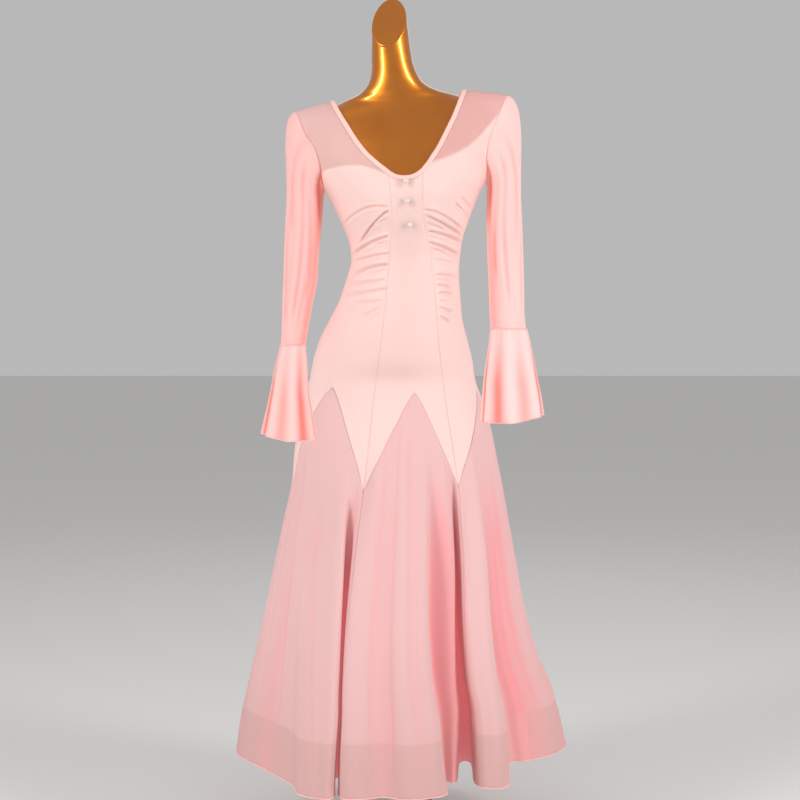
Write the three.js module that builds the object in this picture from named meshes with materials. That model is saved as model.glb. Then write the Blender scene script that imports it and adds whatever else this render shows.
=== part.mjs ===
// A swing dance dress on a limbless dress form: long sleeves with flounces, a V neck, a ruched princess-line
// bodice that ends in points, and six godets that make the skirt. The form stands on a pole and a round base.
// Millimetres, +Z up. The front faces -Y, and +X is on the right of someone who looks at the front. The origin is
// the middle of the base's underside. Heights and distances in the tables are the dressed figure's own: the
// figure group carries them to their place above the base.
import * as THREE from "three";

// ---------- driving dimensions ----------
const FIGURE_PLACE = { x: -50.6, z: 80 }; // where the figure's own zero lies, seen from the base
const CLOTH = 1.2; // thickness of one layer of cloth
const SEAM_GAP = 0.6; // space between two pieces that meet at a seam
const HEM = 100; // height of the skirt's hem
const UNDERARM = 1218; // height where the side seams end
const SHOULDER = 1400; // height of the shoulder seams, before the pose tilts them
const ARCH_ZONE = 832; // the godets' points all lie below this height
const HEM_BAND = 94; // depth of the stiff facing inside the hem
const BAND_WIDTH = 7.5; // width of the binding round the neck
const PEARL_RADIUS = 5.6;
const FORM_BOTTOM = 490; // height of the form's flat underside
const NECK_CUT = { height: 1553, across: 0.3, back: 1.56 }; // plane of the slanted cut through the neck
const POLE_RADIUS = 13;
const BASE = { radius: 170, thick: 9, bevel: 3 };
const COLLAR = { radius: 28, tall: 34, bevel: 8 };
const FLANGE = { radius: 44, tall: 10 };
const STAND_GAP = 0.3; // space between the stacked parts of the stand

const radians = (degrees) => (degrees * Math.PI) / 180;
const mix = (a, b, t) => a + (b - a) * t;
const clamp = (x, low, high) => Math.min(high, Math.max(low, x));
const bell = (x) => Math.exp(-x * x);
const ease = (t) => {
  const c = clamp(t, 0, 1);
  return c * c * (3 - 2 * c);
};

// Reads one column of a table along a smooth curve through its rows, which are sorted by "at".
function reader(rows, key) {
  const at = rows.map((row) => row.at);
  const value = rows.map((row) => row[key]);
  const last = rows.length - 1;
  const slope = value.map((_, i) => {
    const a = Math.max(i - 1, 0);
    const b = Math.min(i + 1, last);
    return (value[b] - value[a]) / (at[b] - at[a]);
  });
  return (x) => {
    if (x <= at[0]) return value[0];
    if (x >= at[last]) return value[last];
    let i = 0;
    while (at[i + 1] < x) i++;
    const gap = at[i + 1] - at[i];
    const t = (x - at[i]) / gap;
    const t2 = t * t;
    const t3 = t2 * t;
    return (
      (2 * t3 - 3 * t2 + 1) * value[i] +
      (t3 - 2 * t2 + t) * gap * slope[i] +
      (3 * t2 - 2 * t3) * value[i + 1] +
      (t3 - t2) * gap * slope[i + 1]
    );
  };
}

// All the columns of a table as readers.
function columns(rows) {
  const keys = Object.keys(rows[0]).filter((key) => key !== "at");
  return Object.fromEntries(keys.map((key) => [key, reader(rows, key)]));
}

// ---------- the dressed figure ----------
// One row for each level section: its centre and half width across, its depth to the front and the back,
// how square it is (2 is an ellipse) and how far it leans back.
const section = columns([
  { at: 100, centre: -2, half: 331, front: 341, back: 331, square: 2.0, lean: 0 },
  { at: 150, centre: -4, half: 322, front: 325, back: 315, square: 2.0, lean: 0 },
  { at: 190, centre: -5, half: 313, front: 310, back: 301, square: 2.0, lean: 0 },
  { at: 230, centre: -6, half: 302, front: 295, back: 287, square: 2.0, lean: 0 },
  { at: 270, centre: -10, half: 288, front: 280, back: 272, square: 2.0, lean: 0 },
  { at: 310, centre: -12, half: 276, front: 265, back: 258, square: 2.0, lean: 0 },
  { at: 390, centre: -13, half: 257, front: 236, back: 232, square: 2.0, lean: 0 },
  { at: 470, centre: -11, half: 241, front: 208, back: 206, square: 2.0, lean: 0 },
  { at: 550, centre: -9, half: 225, front: 180, back: 181, square: 2.0, lean: 0 },
  { at: 630, centre: -7, half: 209, front: 152, back: 157, square: 2.0, lean: 0 },
  { at: 690, centre: -10, half: 200, front: 132, back: 142, square: 2.05, lean: 0 },
  { at: 730, centre: -11, half: 193, front: 119, back: 134, square: 2.1, lean: 0 },
  { at: 790, centre: -13, half: 177, front: 99, back: 123, square: 2.1, lean: 0 },
  { at: 830, centre: -15, half: 165, front: 93, back: 119, square: 2.1, lean: 0 },
  { at: 870, centre: -14, half: 158, front: 97, back: 112, square: 2.1, lean: 0 },
  { at: 910, centre: -13, half: 147, front: 100, back: 102, square: 2.1, lean: 0 },
  { at: 950, centre: -8, half: 132, front: 97, back: 92, square: 2.1, lean: 0 },
  { at: 990, centre: 0, half: 120, front: 90, back: 84, square: 2.1, lean: 0 },
  { at: 1040, centre: 6.5, half: 110.5, front: 80, back: 75, square: 2.1, lean: 0 },
  { at: 1070, centre: 11, half: 107.5, front: 78, back: 72, square: 2.1, lean: 0 },
  { at: 1110, centre: 12, half: 113, front: 85, back: 77, square: 2.1, lean: 0 },
  { at: 1150, centre: 12, half: 128, front: 94, back: 83, square: 2.15, lean: 0 },
  { at: 1190, centre: 11, half: 145, front: 99, back: 89, square: 2.2, lean: 0 },
  { at: 1218, centre: 10.5, half: 160.5, front: 99, back: 92, square: 2.3, lean: 0 },
  { at: 1260, centre: 9, half: 186, front: 93, back: 88, square: 2.4, lean: 1 },
  { at: 1300, centre: 8, half: 206, front: 82, back: 78, square: 2.4, lean: 3 },
  { at: 1343, centre: 6, half: 226, front: 66, back: 64, square: 2.4, lean: 6 },
  { at: 1374, centre: 4, half: 236, front: 50, back: 48, square: 2.4, lean: 8 },
  { at: 1390, centre: 3, half: 239, front: 35, back: 34, square: 2.4, lean: 9 },
  { at: 1397, centre: 3, half: 240, front: 21, back: 21, square: 2.4, lean: 9 },
  { at: 1400, centre: 3, half: 240, front: 0, back: 0, square: 2.4, lean: 9 },
]);

// The line of the shoulders, padded and nearly level, by distance across.
const shoulder = columns([
  { at: -240, height: 1366 },
  { at: -208, height: 1381 },
  { at: -134, height: 1396 },
  { at: 0, height: 1402 },
  { at: 126, height: 1402 },
  { at: 214, height: 1388 },
  { at: 240, height: 1376 },
]);

// How far the pose drops the shoulder at -X, as a slope, by height.
const pose = columns([
  { at: 1000, tilt: 0 },
  { at: 1070, tilt: 0.03 },
  { at: 1150, tilt: 0.058 },
  { at: 1218, tilt: 0.06 },
  { at: 1400, tilt: 0.06 },
]);

// The two bust cups: where each stands out most, by how much, and its half width and half height.
const CUPS = [
  { x: -58, z: 1184, out: 15, wide: 50, tall: 46 },
  { x: 84, z: 1196, out: 15, wide: 50, tall: 46 },
];

// The figure's surface at an angle round it (0 is the front, 90 degrees is +X) and a height.
function figure(angle, at) {
  const sine = Math.sin(angle);
  const cosine = Math.cos(angle);
  const power = 2 / section.square(at);
  const x = section.centre(at) + section.half(at) * Math.sign(sine) * Math.abs(sine) ** power;
  const deep = cosine > 0 ? -section.front(at) : section.back(at);
  let y = section.lean(at) + deep * Math.abs(cosine) ** power;
  let z = at;
  if (at > UNDERARM) {
    const share = (at - UNDERARM) / (SHOULDER - UNDERARM);
    z = mix(UNDERARM, shoulder.height(x), share);
  }
  z += pose.tilt(at) * x;
  for (const cup of CUPS) {
    const near = bell((x - cup.x) / cup.wide) * bell((z - cup.z) / cup.tall);
    y -= cup.out * near * ease(cosine * 2);
  }
  return new THREE.Vector3(x, y, z);
}

// The angle at which the front (or the back) of the section at a height lies that far across.
function angleAt(x, at, back = false) {
  const share = clamp((x - section.centre(at)) / section.half(at), -1, 1);
  const angle = Math.asin(Math.sign(share) * Math.abs(share) ** (section.square(at) / 2));
  return back ? Math.PI - angle : angle;
}

// ---------- seams ----------
// The long seams: the two at the front by distance across, the other four by degrees round the figure.
const seam = columns([
  { at: 625, sideLeft: -80, frontLeft: -69, frontRight: 113, sideRight: 95, backRight: 153, backLeft: 217 },
  { at: 700, sideLeft: -81, frontLeft: -61, frontRight: 102, sideRight: 95, backRight: 154, backLeft: 216 },
  { at: 806, sideLeft: -83, frontLeft: -50, frontRight: 87, sideRight: 94, backRight: 155, backLeft: 215 },
  { at: 900, sideLeft: -85, frontLeft: -38, frontRight: 76, sideRight: 93, backRight: 156, backLeft: 213 },
  { at: 969, sideLeft: -87, frontLeft: -30, frontRight: 71, sideRight: 92, backRight: 157, backLeft: 210 },
  { at: 1022, sideLeft: -88, frontLeft: -25, frontRight: 66, sideRight: 91, backRight: 158, backLeft: 207 },
  { at: 1073, sideLeft: -89, frontLeft: -21, frontRight: 59, sideRight: 90, backRight: 159, backLeft: 204 },
  { at: 1107, sideLeft: -90, frontLeft: -18, frontRight: 52, sideRight: 90, backRight: 160, backLeft: 202 },
  { at: 1160, sideLeft: -90, frontLeft: -16, frontRight: 43, sideRight: 90, backRight: 161, backLeft: 200 },
  { at: 1240, sideLeft: -90, frontLeft: -22, frontRight: 43, sideRight: 90, backRight: 162, backLeft: 198 },
]);
const SEAM_TOP = 1240; // where the front seams meet the neck edge
const BACK_SEAM_TOP = 1346; // where the back seams do
const SEAM_TIP = 625;

// Angles of the six seams at a height, and the first again a whole turn on.
function seamAngles(at) {
  const level = clamp(at, SEAM_TIP, SEAM_TOP);
  const first = radians(seam.sideLeft(level));
  return [
    first,
    angleAt(seam.frontLeft(level), level),
    angleAt(seam.frontRight(level), level),
    radians(seam.sideRight(level)),
    radians(seam.backRight(level)),
    radians(seam.backLeft(level)),
    first + 2 * Math.PI,
  ];
}

// A place round the dress is a number from 0 to 6: seam k is at k, and the gore between k and k + 1.
function angleOf(place, at) {
  const turn = Math.floor(place / 6);
  const within = place - 6 * turn;
  const gore = Math.min(Math.floor(within), 5);
  const angles = seamAngles(at);
  return mix(angles[gore], angles[gore + 1], within - gore) + 2 * Math.PI * turn;
}

function placeOf(angle, at) {
  const angles = seamAngles(at);
  let turned = angle;
  while (turned < angles[0]) turned += 2 * Math.PI;
  let gore = 0;
  while (gore < 5 && angles[gore + 1] < turned) gore++;
  return gore + (turned - angles[gore]) / (angles[gore + 1] - angles[gore]);
}

// ---------- ruching and folds ----------
// Troughs of the ruching: where each starts and ends, how far its middle bows up, its depth and half width.
const TROUGHS = [
  { x: -24, z: 1166, toX: -108, toZ: 1139, bow: 13, deep: 3.5, wide: 6 },
  { x: -24, z: 1160, toX: -76, toZ: 1100, bow: 8, deep: 5, wide: 7 },
  { x: -26, z: 1112, toX: -90, toZ: 1079, bow: 4, deep: 5.5, wide: 6 },
  { x: -24, z: 1079, toX: -88, toZ: 1064, bow: 2, deep: 3.5, wide: 5 },
  { x: -26, z: 1057, toX: -92, toZ: 1034, bow: 5, deep: 5.5, wide: 6 },
  { x: -32, z: 1027, toX: -100, toZ: 1019, bow: -1, deep: 4, wide: 6 },
  { x: -28, z: 1011, toX: -104, toZ: 1000, bow: -3, deep: 4, wide: 5 },
  { x: -34, z: 988, toX: -84, toZ: 982, bow: -1, deep: 3, wide: 5 },
  { x: -34, z: 976, toX: -72, toZ: 957, bow: -1, deep: 2.5, wide: 5 },
  { x: 50, z: 1162, toX: 120, toZ: 1126, bow: 8, deep: 4, wide: 6 },
  { x: 56, z: 1150, toX: 117, toZ: 1117, bow: 2, deep: 5, wide: 6 },
  { x: 58, z: 1122, toX: 116, toZ: 1103, bow: 3, deep: 5, wide: 6 },
  { x: 60, z: 1100, toX: 114, toZ: 1077, bow: 2, deep: 5.5, wide: 6 },
  { x: 66, z: 1068, toX: 100, toZ: 1062, bow: 0, deep: 2, wide: 5 },
  { x: 70, z: 1038, toX: 108, toZ: 1034, bow: 1, deep: 4, wide: 5 },
  { x: 72, z: 1018, toX: 98, toZ: 1012, bow: 0, deep: 3.5, wide: 5 },
  { x: 74, z: 1002, toX: 100, toZ: 998, bow: 1, deep: 4, wide: 5 },
  { x: 76, z: 974, toX: 100, toZ: 964, bow: 0, deep: 3.5, wide: 5 },
  { x: 78, z: 956, toX: 96, toZ: 947, bow: 0, deep: 3, wide: 5 },
  { x: 108, z: 1176, toX: 134, toZ: 1150, bow: 2, deep: 2.5, wide: 5 },
];
const PUFF = 4; // how far the gathered cloth stands out between its troughs
const RUCHED = { low: 945, high: 1178, fade: 34 };

// How far the gathers lift the cloth at a point of the two side fronts, from the seam towards the side.
function ruching(x, z, share) {
  const rise = ease((z - RUCHED.low) / RUCHED.fade) * ease((RUCHED.high - z) / RUCHED.fade);
  let lift = PUFF * rise * ease(share * 6) * ease((1 - share) * 2.2);
  for (const t of TROUGHS) {
    const along = (x - t.x) / (t.toX - t.x);
    if (along < -0.12 || along > 1.12) continue;
    const inside = clamp(along, 0, 1);
    const line = mix(t.z, t.toZ, inside) + t.bow * 4 * inside * (1 - inside);
    const fade = ease((along + 0.12) / 0.24) * ease((1.12 - along) / 0.45);
    lift -= t.deep * fade * bell((z - line) / t.wide) * 0.8;
  }
  return Math.max(lift, -0.4);
}

// One row for each turn of the hem, seen from above: its place round the dress, where it lies on the floor
// plan, the height at which that fold begins, how quickly it opens below that, and how far it bows sideways
// half way down.
const TURNS = [
  { at: 0, x: -318, y: -62, start: 700, quick: 1.25, bow: 0 },
  { at: 0.22, x: -258, y: -164, start: 700, quick: 1.25, bow: 0 },
  { at: 0.44, x: -198, y: -262, start: 560, quick: 1.25, bow: 0 },
  { at: 0.53, x: -182, y: -318, start: 520, quick: 1.25, bow: 0 },
  { at: 0.67, x: -146, y: -344, start: 640, quick: 1.25, bow: 0 },
  { at: 0.82, x: -117, y: -334, start: 660, quick: 2.2, bow: 2 },
  { at: 0.88, x: -121, y: -230, start: 655, quick: 2.6, bow: -2 },
  { at: 0.93, x: -107, y: -226, start: 655, quick: 2.6, bow: -2 },
  { at: 0.97, x: -111, y: -300, start: 650, quick: 2.2, bow: -3 },
  { at: 1.02, x: -104, y: -344, start: 650, quick: 1.6, bow: -4 },
  { at: 1.12, x: -68, y: -350, start: 720, quick: 1.25, bow: -4 },
  { at: 1.24, x: -30, y: -337, start: 740, quick: 1.25, bow: 0 },
  { at: 1.4, x: 10, y: -353, start: 760, quick: 1.25, bow: 0 },
  { at: 1.54, x: 48, y: -345, start: 740, quick: 1.25, bow: 0 },
  { at: 1.65, x: 84, y: -318, start: 720, quick: 1.6, bow: -4 },
  { at: 1.72, x: 82, y: -246, start: 720, quick: 2.2, bow: -4 },
  { at: 1.84, x: 104, y: -240, start: 700, quick: 1.6, bow: 20 },
  { at: 1.89, x: 113, y: -128, start: 700, quick: 1.6, bow: 18 },
  { at: 1.95, x: 136, y: -124, start: 690, quick: 1.6, bow: 4 },
  { at: 2, x: 137, y: -250, start: 690, quick: 1.4, bow: 10 },
  { at: 2.11, x: 165, y: -286, start: 700, quick: 1.25, bow: 2 },
  { at: 2.23, x: 199, y: -262, start: 720, quick: 1.4, bow: 13 },
  { at: 2.32, x: 209, y: -134, start: 735, quick: 2, bow: 0 },
  { at: 2.42, x: 240, y: -112, start: 730, quick: 1.6, bow: 0 },
  { at: 2.62, x: 296, y: -72, start: 740, quick: 1.25, bow: 0 },
  { at: 2.84, x: 332, y: 2, start: 740, quick: 1.25, bow: 0 },
  { at: 3, x: 322, y: 78, start: 700, quick: 1.25, bow: 0 },
  { at: 3.18, x: 276, y: 176, start: 700, quick: 1.25, bow: 0 },
  { at: 3.34, x: 206, y: 168, start: 680, quick: 1.8, bow: 0 },
  { at: 3.5, x: 202, y: 262, start: 680, quick: 1.25, bow: 0 },
  { at: 3.72, x: 138, y: 312, start: 700, quick: 1.25, bow: 0 },
  { at: 3.88, x: 98, y: 226, start: 660, quick: 1.8, bow: 0 },
  { at: 4, x: 78, y: 318, start: 640, quick: 1.25, bow: 0 },
  { at: 4.24, x: 30, y: 340, start: 720, quick: 1.25, bow: 0 },
  { at: 4.42, x: -6, y: 318, start: 720, quick: 1.25, bow: 0 },
  { at: 4.6, x: -44, y: 338, start: 720, quick: 1.25, bow: 0 },
  { at: 4.84, x: -88, y: 316, start: 680, quick: 1.25, bow: 0 },
  { at: 4.94, x: -100, y: 226, start: 660, quick: 1.8, bow: 0 },
  { at: 5.06, x: -136, y: 308, start: 660, quick: 1.25, bow: 0 },
  { at: 5.28, x: -202, y: 266, start: 700, quick: 1.25, bow: 0 },
  { at: 5.44, x: -206, y: 172, start: 690, quick: 1.8, bow: 0 },
  { at: 5.62, x: -276, y: 184, start: 700, quick: 1.25, bow: 0 },
  { at: 5.84, x: -322, y: 62, start: 700, quick: 1.25, bow: 0 },
];
const FOLDS_TOP = 760;
const FOLD_ONSET = 0.05; // the first share of a fold, where it grows out of the smooth cloth

// The folds' shifts across and back at a height, as smooth curves round the dress. They repeat every 6.
const foldCache = new Map();
function foldsAt(at) {
  if (foldCache.has(at)) return foldCache.get(at);
  const grown = section.half(at) / section.half(HEM);
  const shifted = TURNS.map((turn) => {
    const smooth = figure(angleOf(turn.at, at), at);
    const down = clamp((turn.start - at) / (turn.start - HEM), 0, 1);
    const begun = (down * down * (1 + FOLD_ONSET)) / (down + FOLD_ONSET);
    const share = 1 - (1 - begun) ** turn.quick;
    const x = section.centre(at) + (turn.x - section.centre(HEM)) * grown;
    const y = turn.y * grown;
    const bow = turn.bow * 4 * begun * (1 - begun);
    return { at: turn.at, x: share * (x - smooth.x) + bow, y: share * (y - smooth.y) };
  });
  const before = shifted.slice(-3).map((row) => ({ ...row, at: row.at - 6 }));
  const after = shifted.slice(0, 3).map((row) => ({ ...row, at: row.at + 6 }));
  const read = columns([...before, ...shifted, ...after]);
  foldCache.set(at, read);
  return read;
}

// The dress's middle surface at a place round it and a height.
function dress(place, at) {
  const within = ((place % 6) + 6) % 6;
  const angle = angleOf(within, at);
  const point = figure(angle, at);
  if (at < FOLDS_TOP) {
    const folds = foldsAt(at);
    point.x += folds.x(within);
    point.y += folds.y(within);
  }
  const gore = Math.floor(within);
  if (at > RUCHED.low - 60 && at < UNDERARM && (gore === 0 || gore === 2)) {
    const share = gore === 0 ? 1 - (within - gore) : within - gore;
    const lift = ruching(point.x, point.z, share);
    point.x += lift * Math.sin(angle);
    point.y -= lift * Math.cos(angle);
  }
  return point;
}

// That surface's outward normal.
function normalOf(place, at) {
  const step = 0.004;
  const top = Math.min(at + 0.6, SHOULDER);
  const across = dress(place + step, at).sub(dress(place - step, at));
  const up = dress(place, top).sub(dress(place, at - 0.6));
  return across.cross(up).normalize();
}

const spot = (place, at) => ({ point: dress(place, at), normal: normalOf(place, at) });

// ---------- outlines of the pieces ----------
// The front neck edge and the armholes, by height before the tilt: distance across on each side.
const neckFront = columns([
  { at: 1240, left: -22, right: 43 },
  { at: 1252, left: -36, right: 53 },
  { at: 1264, left: -49, right: 61 },
  { at: 1282, left: -66, right: 73 },
  { at: 1311, left: -86, right: 88 },
  { at: 1346, left: -106, right: 105 },
  { at: 1374, left: -121, right: 116 },
  { at: 1400, left: -133, right: 126 },
]);
const neckBack = columns([
  { at: 1346, left: -79, right: 91 },
  { at: 1356, left: -93, right: 99 },
  { at: 1372, left: -110, right: 108 },
  { at: 1388, left: -124, right: 117 },
  { at: 1400, left: -133, right: 124 },
]);
const armhole = columns([
  { at: 1218, left: -150, right: 171 },
  { at: 1230, left: -152, right: 171 },
  { at: 1260, left: -156, right: 170 },
  { at: 1300, left: -167, right: 177 },
  { at: 1343, left: -189, right: 192 },
  { at: 1400, left: -208, right: 214 },
]);
const NECK_LOW = { front: 1227, back: 1332 };

// Height of the neck edge across a middle gore, a shallow curve that meets the neck edges beside it.
function neckMiddle(place, side) {
  const from = side === "front" ? SEAM_TOP : BACK_SEAM_TOP;
  const share = place - Math.floor(Math.min(place, side === "front" ? 1.999 : 4.999));
  return NECK_LOW[side] + (from - NECK_LOW[side]) * (2 * share - 1) ** 2;
}

// Each godet's pointed top: its place in the gore, its height, and the heights where its two sides end.
const ARCHES = [
  { peak: 0.55, height: 818, left: 622, right: 622 },
  { peak: 0.53, height: 808, left: 622, right: 630 },
  { peak: 0.7, height: 812, left: 630, right: 620 },
  { peak: 0.48, height: 814, left: 620, right: 622 },
  { peak: 0.5, height: 812, left: 622, right: 622 },
  { peak: 0.5, height: 814, left: 622, right: 622 },
];
const ARCH_POWER = 1.38; // over 1 rounds the point a little

function archAt(gore, share) {
  const arch = ARCHES[gore];
  const side = share < arch.peak ? "left" : "right";
  const reach = side === "left" ? arch.peak : 1 - arch.peak;
  const away = Math.abs(share - arch.peak) / reach;
  return arch.height - (arch.height - arch[side]) * away ** ARCH_POWER;
}

// ---------- walls of cloth ----------
// Moves the edge points of a grid into the piece, so that neighbours stay SEAM_GAP apart.
function openSeams(grid, edges) {
  const rows = grid.length;
  const cols = grid[0].length;
  const moved = grid.map((row) => row.map((cell) => cell.point.clone()));
  const pull = (j, i, inJ, inI, alongJ, alongI) => {
    const here = grid[j][i].point;
    const inward = grid[inJ][inI].point.clone().sub(here).normalize();
    const a = grid[clamp(j - alongJ, 0, rows - 1)][clamp(i - alongI, 0, cols - 1)].point;
    const b = grid[clamp(j + alongJ, 0, rows - 1)][clamp(i + alongI, 0, cols - 1)].point;
    const slant = b.clone().sub(a).normalize().cross(inward).length();
    moved[j][i].addScaledVector(inward, Math.min(SEAM_GAP / 2 / Math.max(slant, 0.1), 2));
  };
  for (let j = 0; j < rows; j++) {
    if (edges.includes("left")) pull(j, 0, j, 1, 1, 0);
    if (edges.includes("right")) pull(j, cols - 1, j, cols - 2, 1, 0);
  }
  for (let i = 0; i < cols; i++) {
    if (edges.includes("bottom")) pull(0, i, 1, i, 0, 1);
    if (edges.includes("top")) pull(rows - 1, i, rows - 2, i, 0, 1);
  }
  grid.forEach((row, j) => row.forEach((cell, i) => (cell.point = moved[j][i])));
  return grid;
}

// A closed wall over a grid of spots, from one side of the cloth to the other. A ring closes on its first column.
function wall(grid, { ring = false, out = 0, thick = CLOTH } = {}) {
  const rows = grid.length;
  const cols = grid[0].length;
  const positions = [];
  for (const side of [out + thick / 2, out - thick / 2])
    for (const row of grid)
      for (const { point, normal } of row)
        positions.push(point.x + normal.x * side, point.y + normal.y * side, point.z + normal.z * side);
  const faces = [];
  const index = (face, j, i) => face * rows * cols + j * cols + (i % cols);
  const quad = (a, b, c, d) => faces.push(a, b, c, a, c, d);
  const spans = ring ? cols : cols - 1;
  for (let j = 0; j < rows - 1; j++)
    for (let i = 0; i < spans; i++) {
      quad(index(0, j, i), index(0, j, i + 1), index(0, j + 1, i + 1), index(0, j + 1, i));
      quad(index(1, j, i), index(1, j + 1, i), index(1, j + 1, i + 1), index(1, j, i + 1));
    }
  for (let i = 0; i < spans; i++) {
    quad(index(1, 0, i), index(1, 0, i + 1), index(0, 0, i + 1), index(0, 0, i));
    quad(index(0, rows - 1, i), index(0, rows - 1, i + 1), index(1, rows - 1, i + 1), index(1, rows - 1, i));
  }
  if (!ring)
    for (let j = 0; j < rows - 1; j++) {
      quad(index(0, j, 0), index(0, j + 1, 0), index(1, j + 1, 0), index(1, j, 0));
      quad(index(1, j, cols - 1), index(1, j + 1, cols - 1), index(0, j + 1, cols - 1), index(0, j, cols - 1));
    }
  return solid(positions, faces);
}

function solid(positions, faces) {
  const geometry = new THREE.BufferGeometry();
  geometry.setAttribute("position", new THREE.Float32BufferAttribute(positions, 3));
  geometry.setIndex(faces);
  geometry.computeVertexNormals();
  return geometry;
}

// ---------- materials and the group ----------
const finish = (color, roughness, metalness = 0) => new THREE.MeshStandardMaterial({ color, roughness, metalness });
const KNIT = finish(0xf7cfc6, 0.75);
const CHIFFON = finish(0xf0bcbc, 0.7);
const SLEEVE_MESH = finish(0xf6b9b2, 0.7);
const PEARL_FINISH = finish(0xf4efe6, 0.25);
const GOLD = finish(0xb8792e, 0.22, 0.6);
const BRONZE = finish(0x8a7148, 0.3, 0.9);

const model = new THREE.Group();
model.name = "swing_dress_on_form";
const dressed = new THREE.Group();
dressed.name = "dressed_figure";
dressed.position.set(FIGURE_PLACE.x, 0, FIGURE_PLACE.z);
const stand = new THREE.Group();
stand.name = "stand";
model.add(dressed, stand);
function add(name, geometry, material, parent = dressed) {
  const mesh = new THREE.Mesh(geometry, material);
  mesh.name = name;
  parent.add(mesh);
}

// ---------- columns and rows ----------
// Columns of a gore: the hem's turns in it, its two seams and its point, with long gaps halved.
function goreColumns(gore) {
  const inside = TURNS.map((turn) => turn.at - gore).filter((share) => share > 0.03 && share < 0.97);
  const found = [0, ...inside.filter((share) => Math.abs(share - ARCHES[gore].peak) > 0.05), 1];
  found.push(ARCHES[gore].peak);
  found.sort((a, b) => a - b);
  return found.flatMap((share, i) => {
    const gap = (found[i + 1] ?? share) - share;
    return gap > 0.17 ? [share, share + gap / 2] : [share];
  });
}

const evenly = (from, to, steps) => Array.from({ length: steps }, (_, i) => mix(from, to, (i + 1) / steps));
const ARCH_ROWS = 5;
const PLAIN_ROWS = evenly(ARCH_ZONE, UNDERARM, 8);
const RUCHED_ROWS = [...evenly(ARCH_ZONE, 940, 3), ...evenly(940, 1180, 20), 1199, UNDERARM];
const ARMHOLE_ROWS = [1222, 1229, SEAM_TOP, 1256, 1282, 1312, BACK_SEAM_TOP, 1374, 1391, SHOULDER];

// A bodice piece: from its arch up, between two edges that are functions of the height. A middle piece
// ends at its neck edge, where its rows are squeezed to fit.
function bodicePiece(gore, rowsAbove, { left, right, top }) {
  const shares = goreColumns(gore);
  const grid = [];
  const addRow = (heightOf) => {
    grid.push(
      shares.map((share) => {
        const at = heightOf(share);
        return spot(mix(left(at), right(at), share), at);
      }),
    );
  };
  for (let j = 0; j <= ARCH_ROWS; j++)
    addRow((share) => mix(archAt(gore, share), ARCH_ZONE, j / ARCH_ROWS));
  const highest = rowsAbove.at(-1);
  for (const level of rowsAbove)
    addRow((share) => {
      if (!top) return level;
      return mix(ARCH_ZONE, top(gore + share), (level - ARCH_ZONE) / (highest - ARCH_ZONE));
    });
  return wall(openSeams(grid, ["left", "right", "bottom", "top"]));
}

// The place of a neck or armhole edge at a height, never past the seam that the piece starts from.
const edgePlace = (x, at, back) => placeOf(angleAt(x, at, back), at);
const inGore = (gore, edge) => (at) => clamp(edge(at), gore, gore + 1);

const neckLeft = (at) => (at < SEAM_TOP ? 1 : edgePlace(neckFront.left(at), at, false));
const neckRight = (at) => (at < SEAM_TOP ? 2 : edgePlace(neckFront.right(at), at, false));
const armLeft = (at) => (at < UNDERARM ? 0 : edgePlace(armhole.left(at), at, false));
const armRight = (at) => (at < UNDERARM ? 3 : edgePlace(armhole.right(at), at, false));
const armRightBack = (at) => (at < UNDERARM ? 3 : edgePlace(armhole.right(at), at, true));
const armLeftBack = (at) => (at < UNDERARM ? 6 : edgePlace(armhole.left(at), at, true));
const neckRightBack = (at) => (at < BACK_SEAM_TOP ? 4 : edgePlace(neckBack.right(at), at, true));
const neckLeftBack = (at) => (at < BACK_SEAM_TOP ? 5 : edgePlace(neckBack.left(at), at, true));
const fixed = (place) => () => place;

const SIDE_ROWS = [...RUCHED_ROWS, ...ARMHOLE_ROWS];
const BACK_ROWS = [...PLAIN_ROWS, 1229, ...ARMHOLE_ROWS.filter((level) => level > SEAM_TOP)];
const FRONT_MIDDLE_ROWS = [...evenly(ARCH_ZONE, 940, 3), ...evenly(940, 1180, 10), 1199, UNDERARM, 1229, SEAM_TOP];
const BACK_MIDDLE_ROWS = BACK_ROWS.filter((level) => level <= BACK_SEAM_TOP);
add("side_front_left", bodicePiece(0, SIDE_ROWS, { left: inGore(0, armLeft), right: inGore(0, neckLeft) }), KNIT);
add(
  "centre_front",
  bodicePiece(1, FRONT_MIDDLE_ROWS, { left: fixed(1), right: fixed(2), top: (place) => neckMiddle(place, "front") }),
  KNIT,
);
add("side_front_right", bodicePiece(2, SIDE_ROWS, { left: inGore(2, neckRight), right: inGore(2, armRight) }), KNIT);
add("side_back_right", bodicePiece(3, BACK_ROWS, { left: armRightBack, right: inGore(3, neckRightBack) }), KNIT);
add(
  "centre_back",
  bodicePiece(4, BACK_MIDDLE_ROWS, { left: fixed(4), right: fixed(5), top: (place) => neckMiddle(place, "back") }),
  KNIT,
);
add("side_back_left", bodicePiece(5, BACK_ROWS, { left: inGore(5, neckLeftBack), right: armLeftBack }), KNIT);

// ---------- godets and hem facing ----------
const GODET_NAMES = ["front_left", "front", "front_right", "back_right", "back", "back_left"];
const GODET_ROWS = [0, 0.17, 0.34, 0.52, 0.7, 0.85, 1];
const ringPlaces = GODET_NAMES.flatMap((_, gore) => goreColumns(gore).slice(0, -1).map((share) => gore + share));

// A spot whose normal halves the corner between the two stretches of cloth beside it, as sharp folds need.
function cornerSpot(place, at) {
  const count = ringPlaces.length;
  const i = ringPlaces.findIndex((other) => Math.abs(other - (place % 6)) < 1e-6);
  const point = dress(place, at);
  const come = point.clone().sub(dress(ringPlaces[(i + count - 1) % count], at)).normalize();
  const leave = dress(ringPlaces[(i + 1) % count], at).sub(point).normalize();
  const up = dress(place, at + 0.6).sub(dress(place, at - 0.6));
  return { point, normal: come.add(leave).cross(up).normalize() };
}

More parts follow.
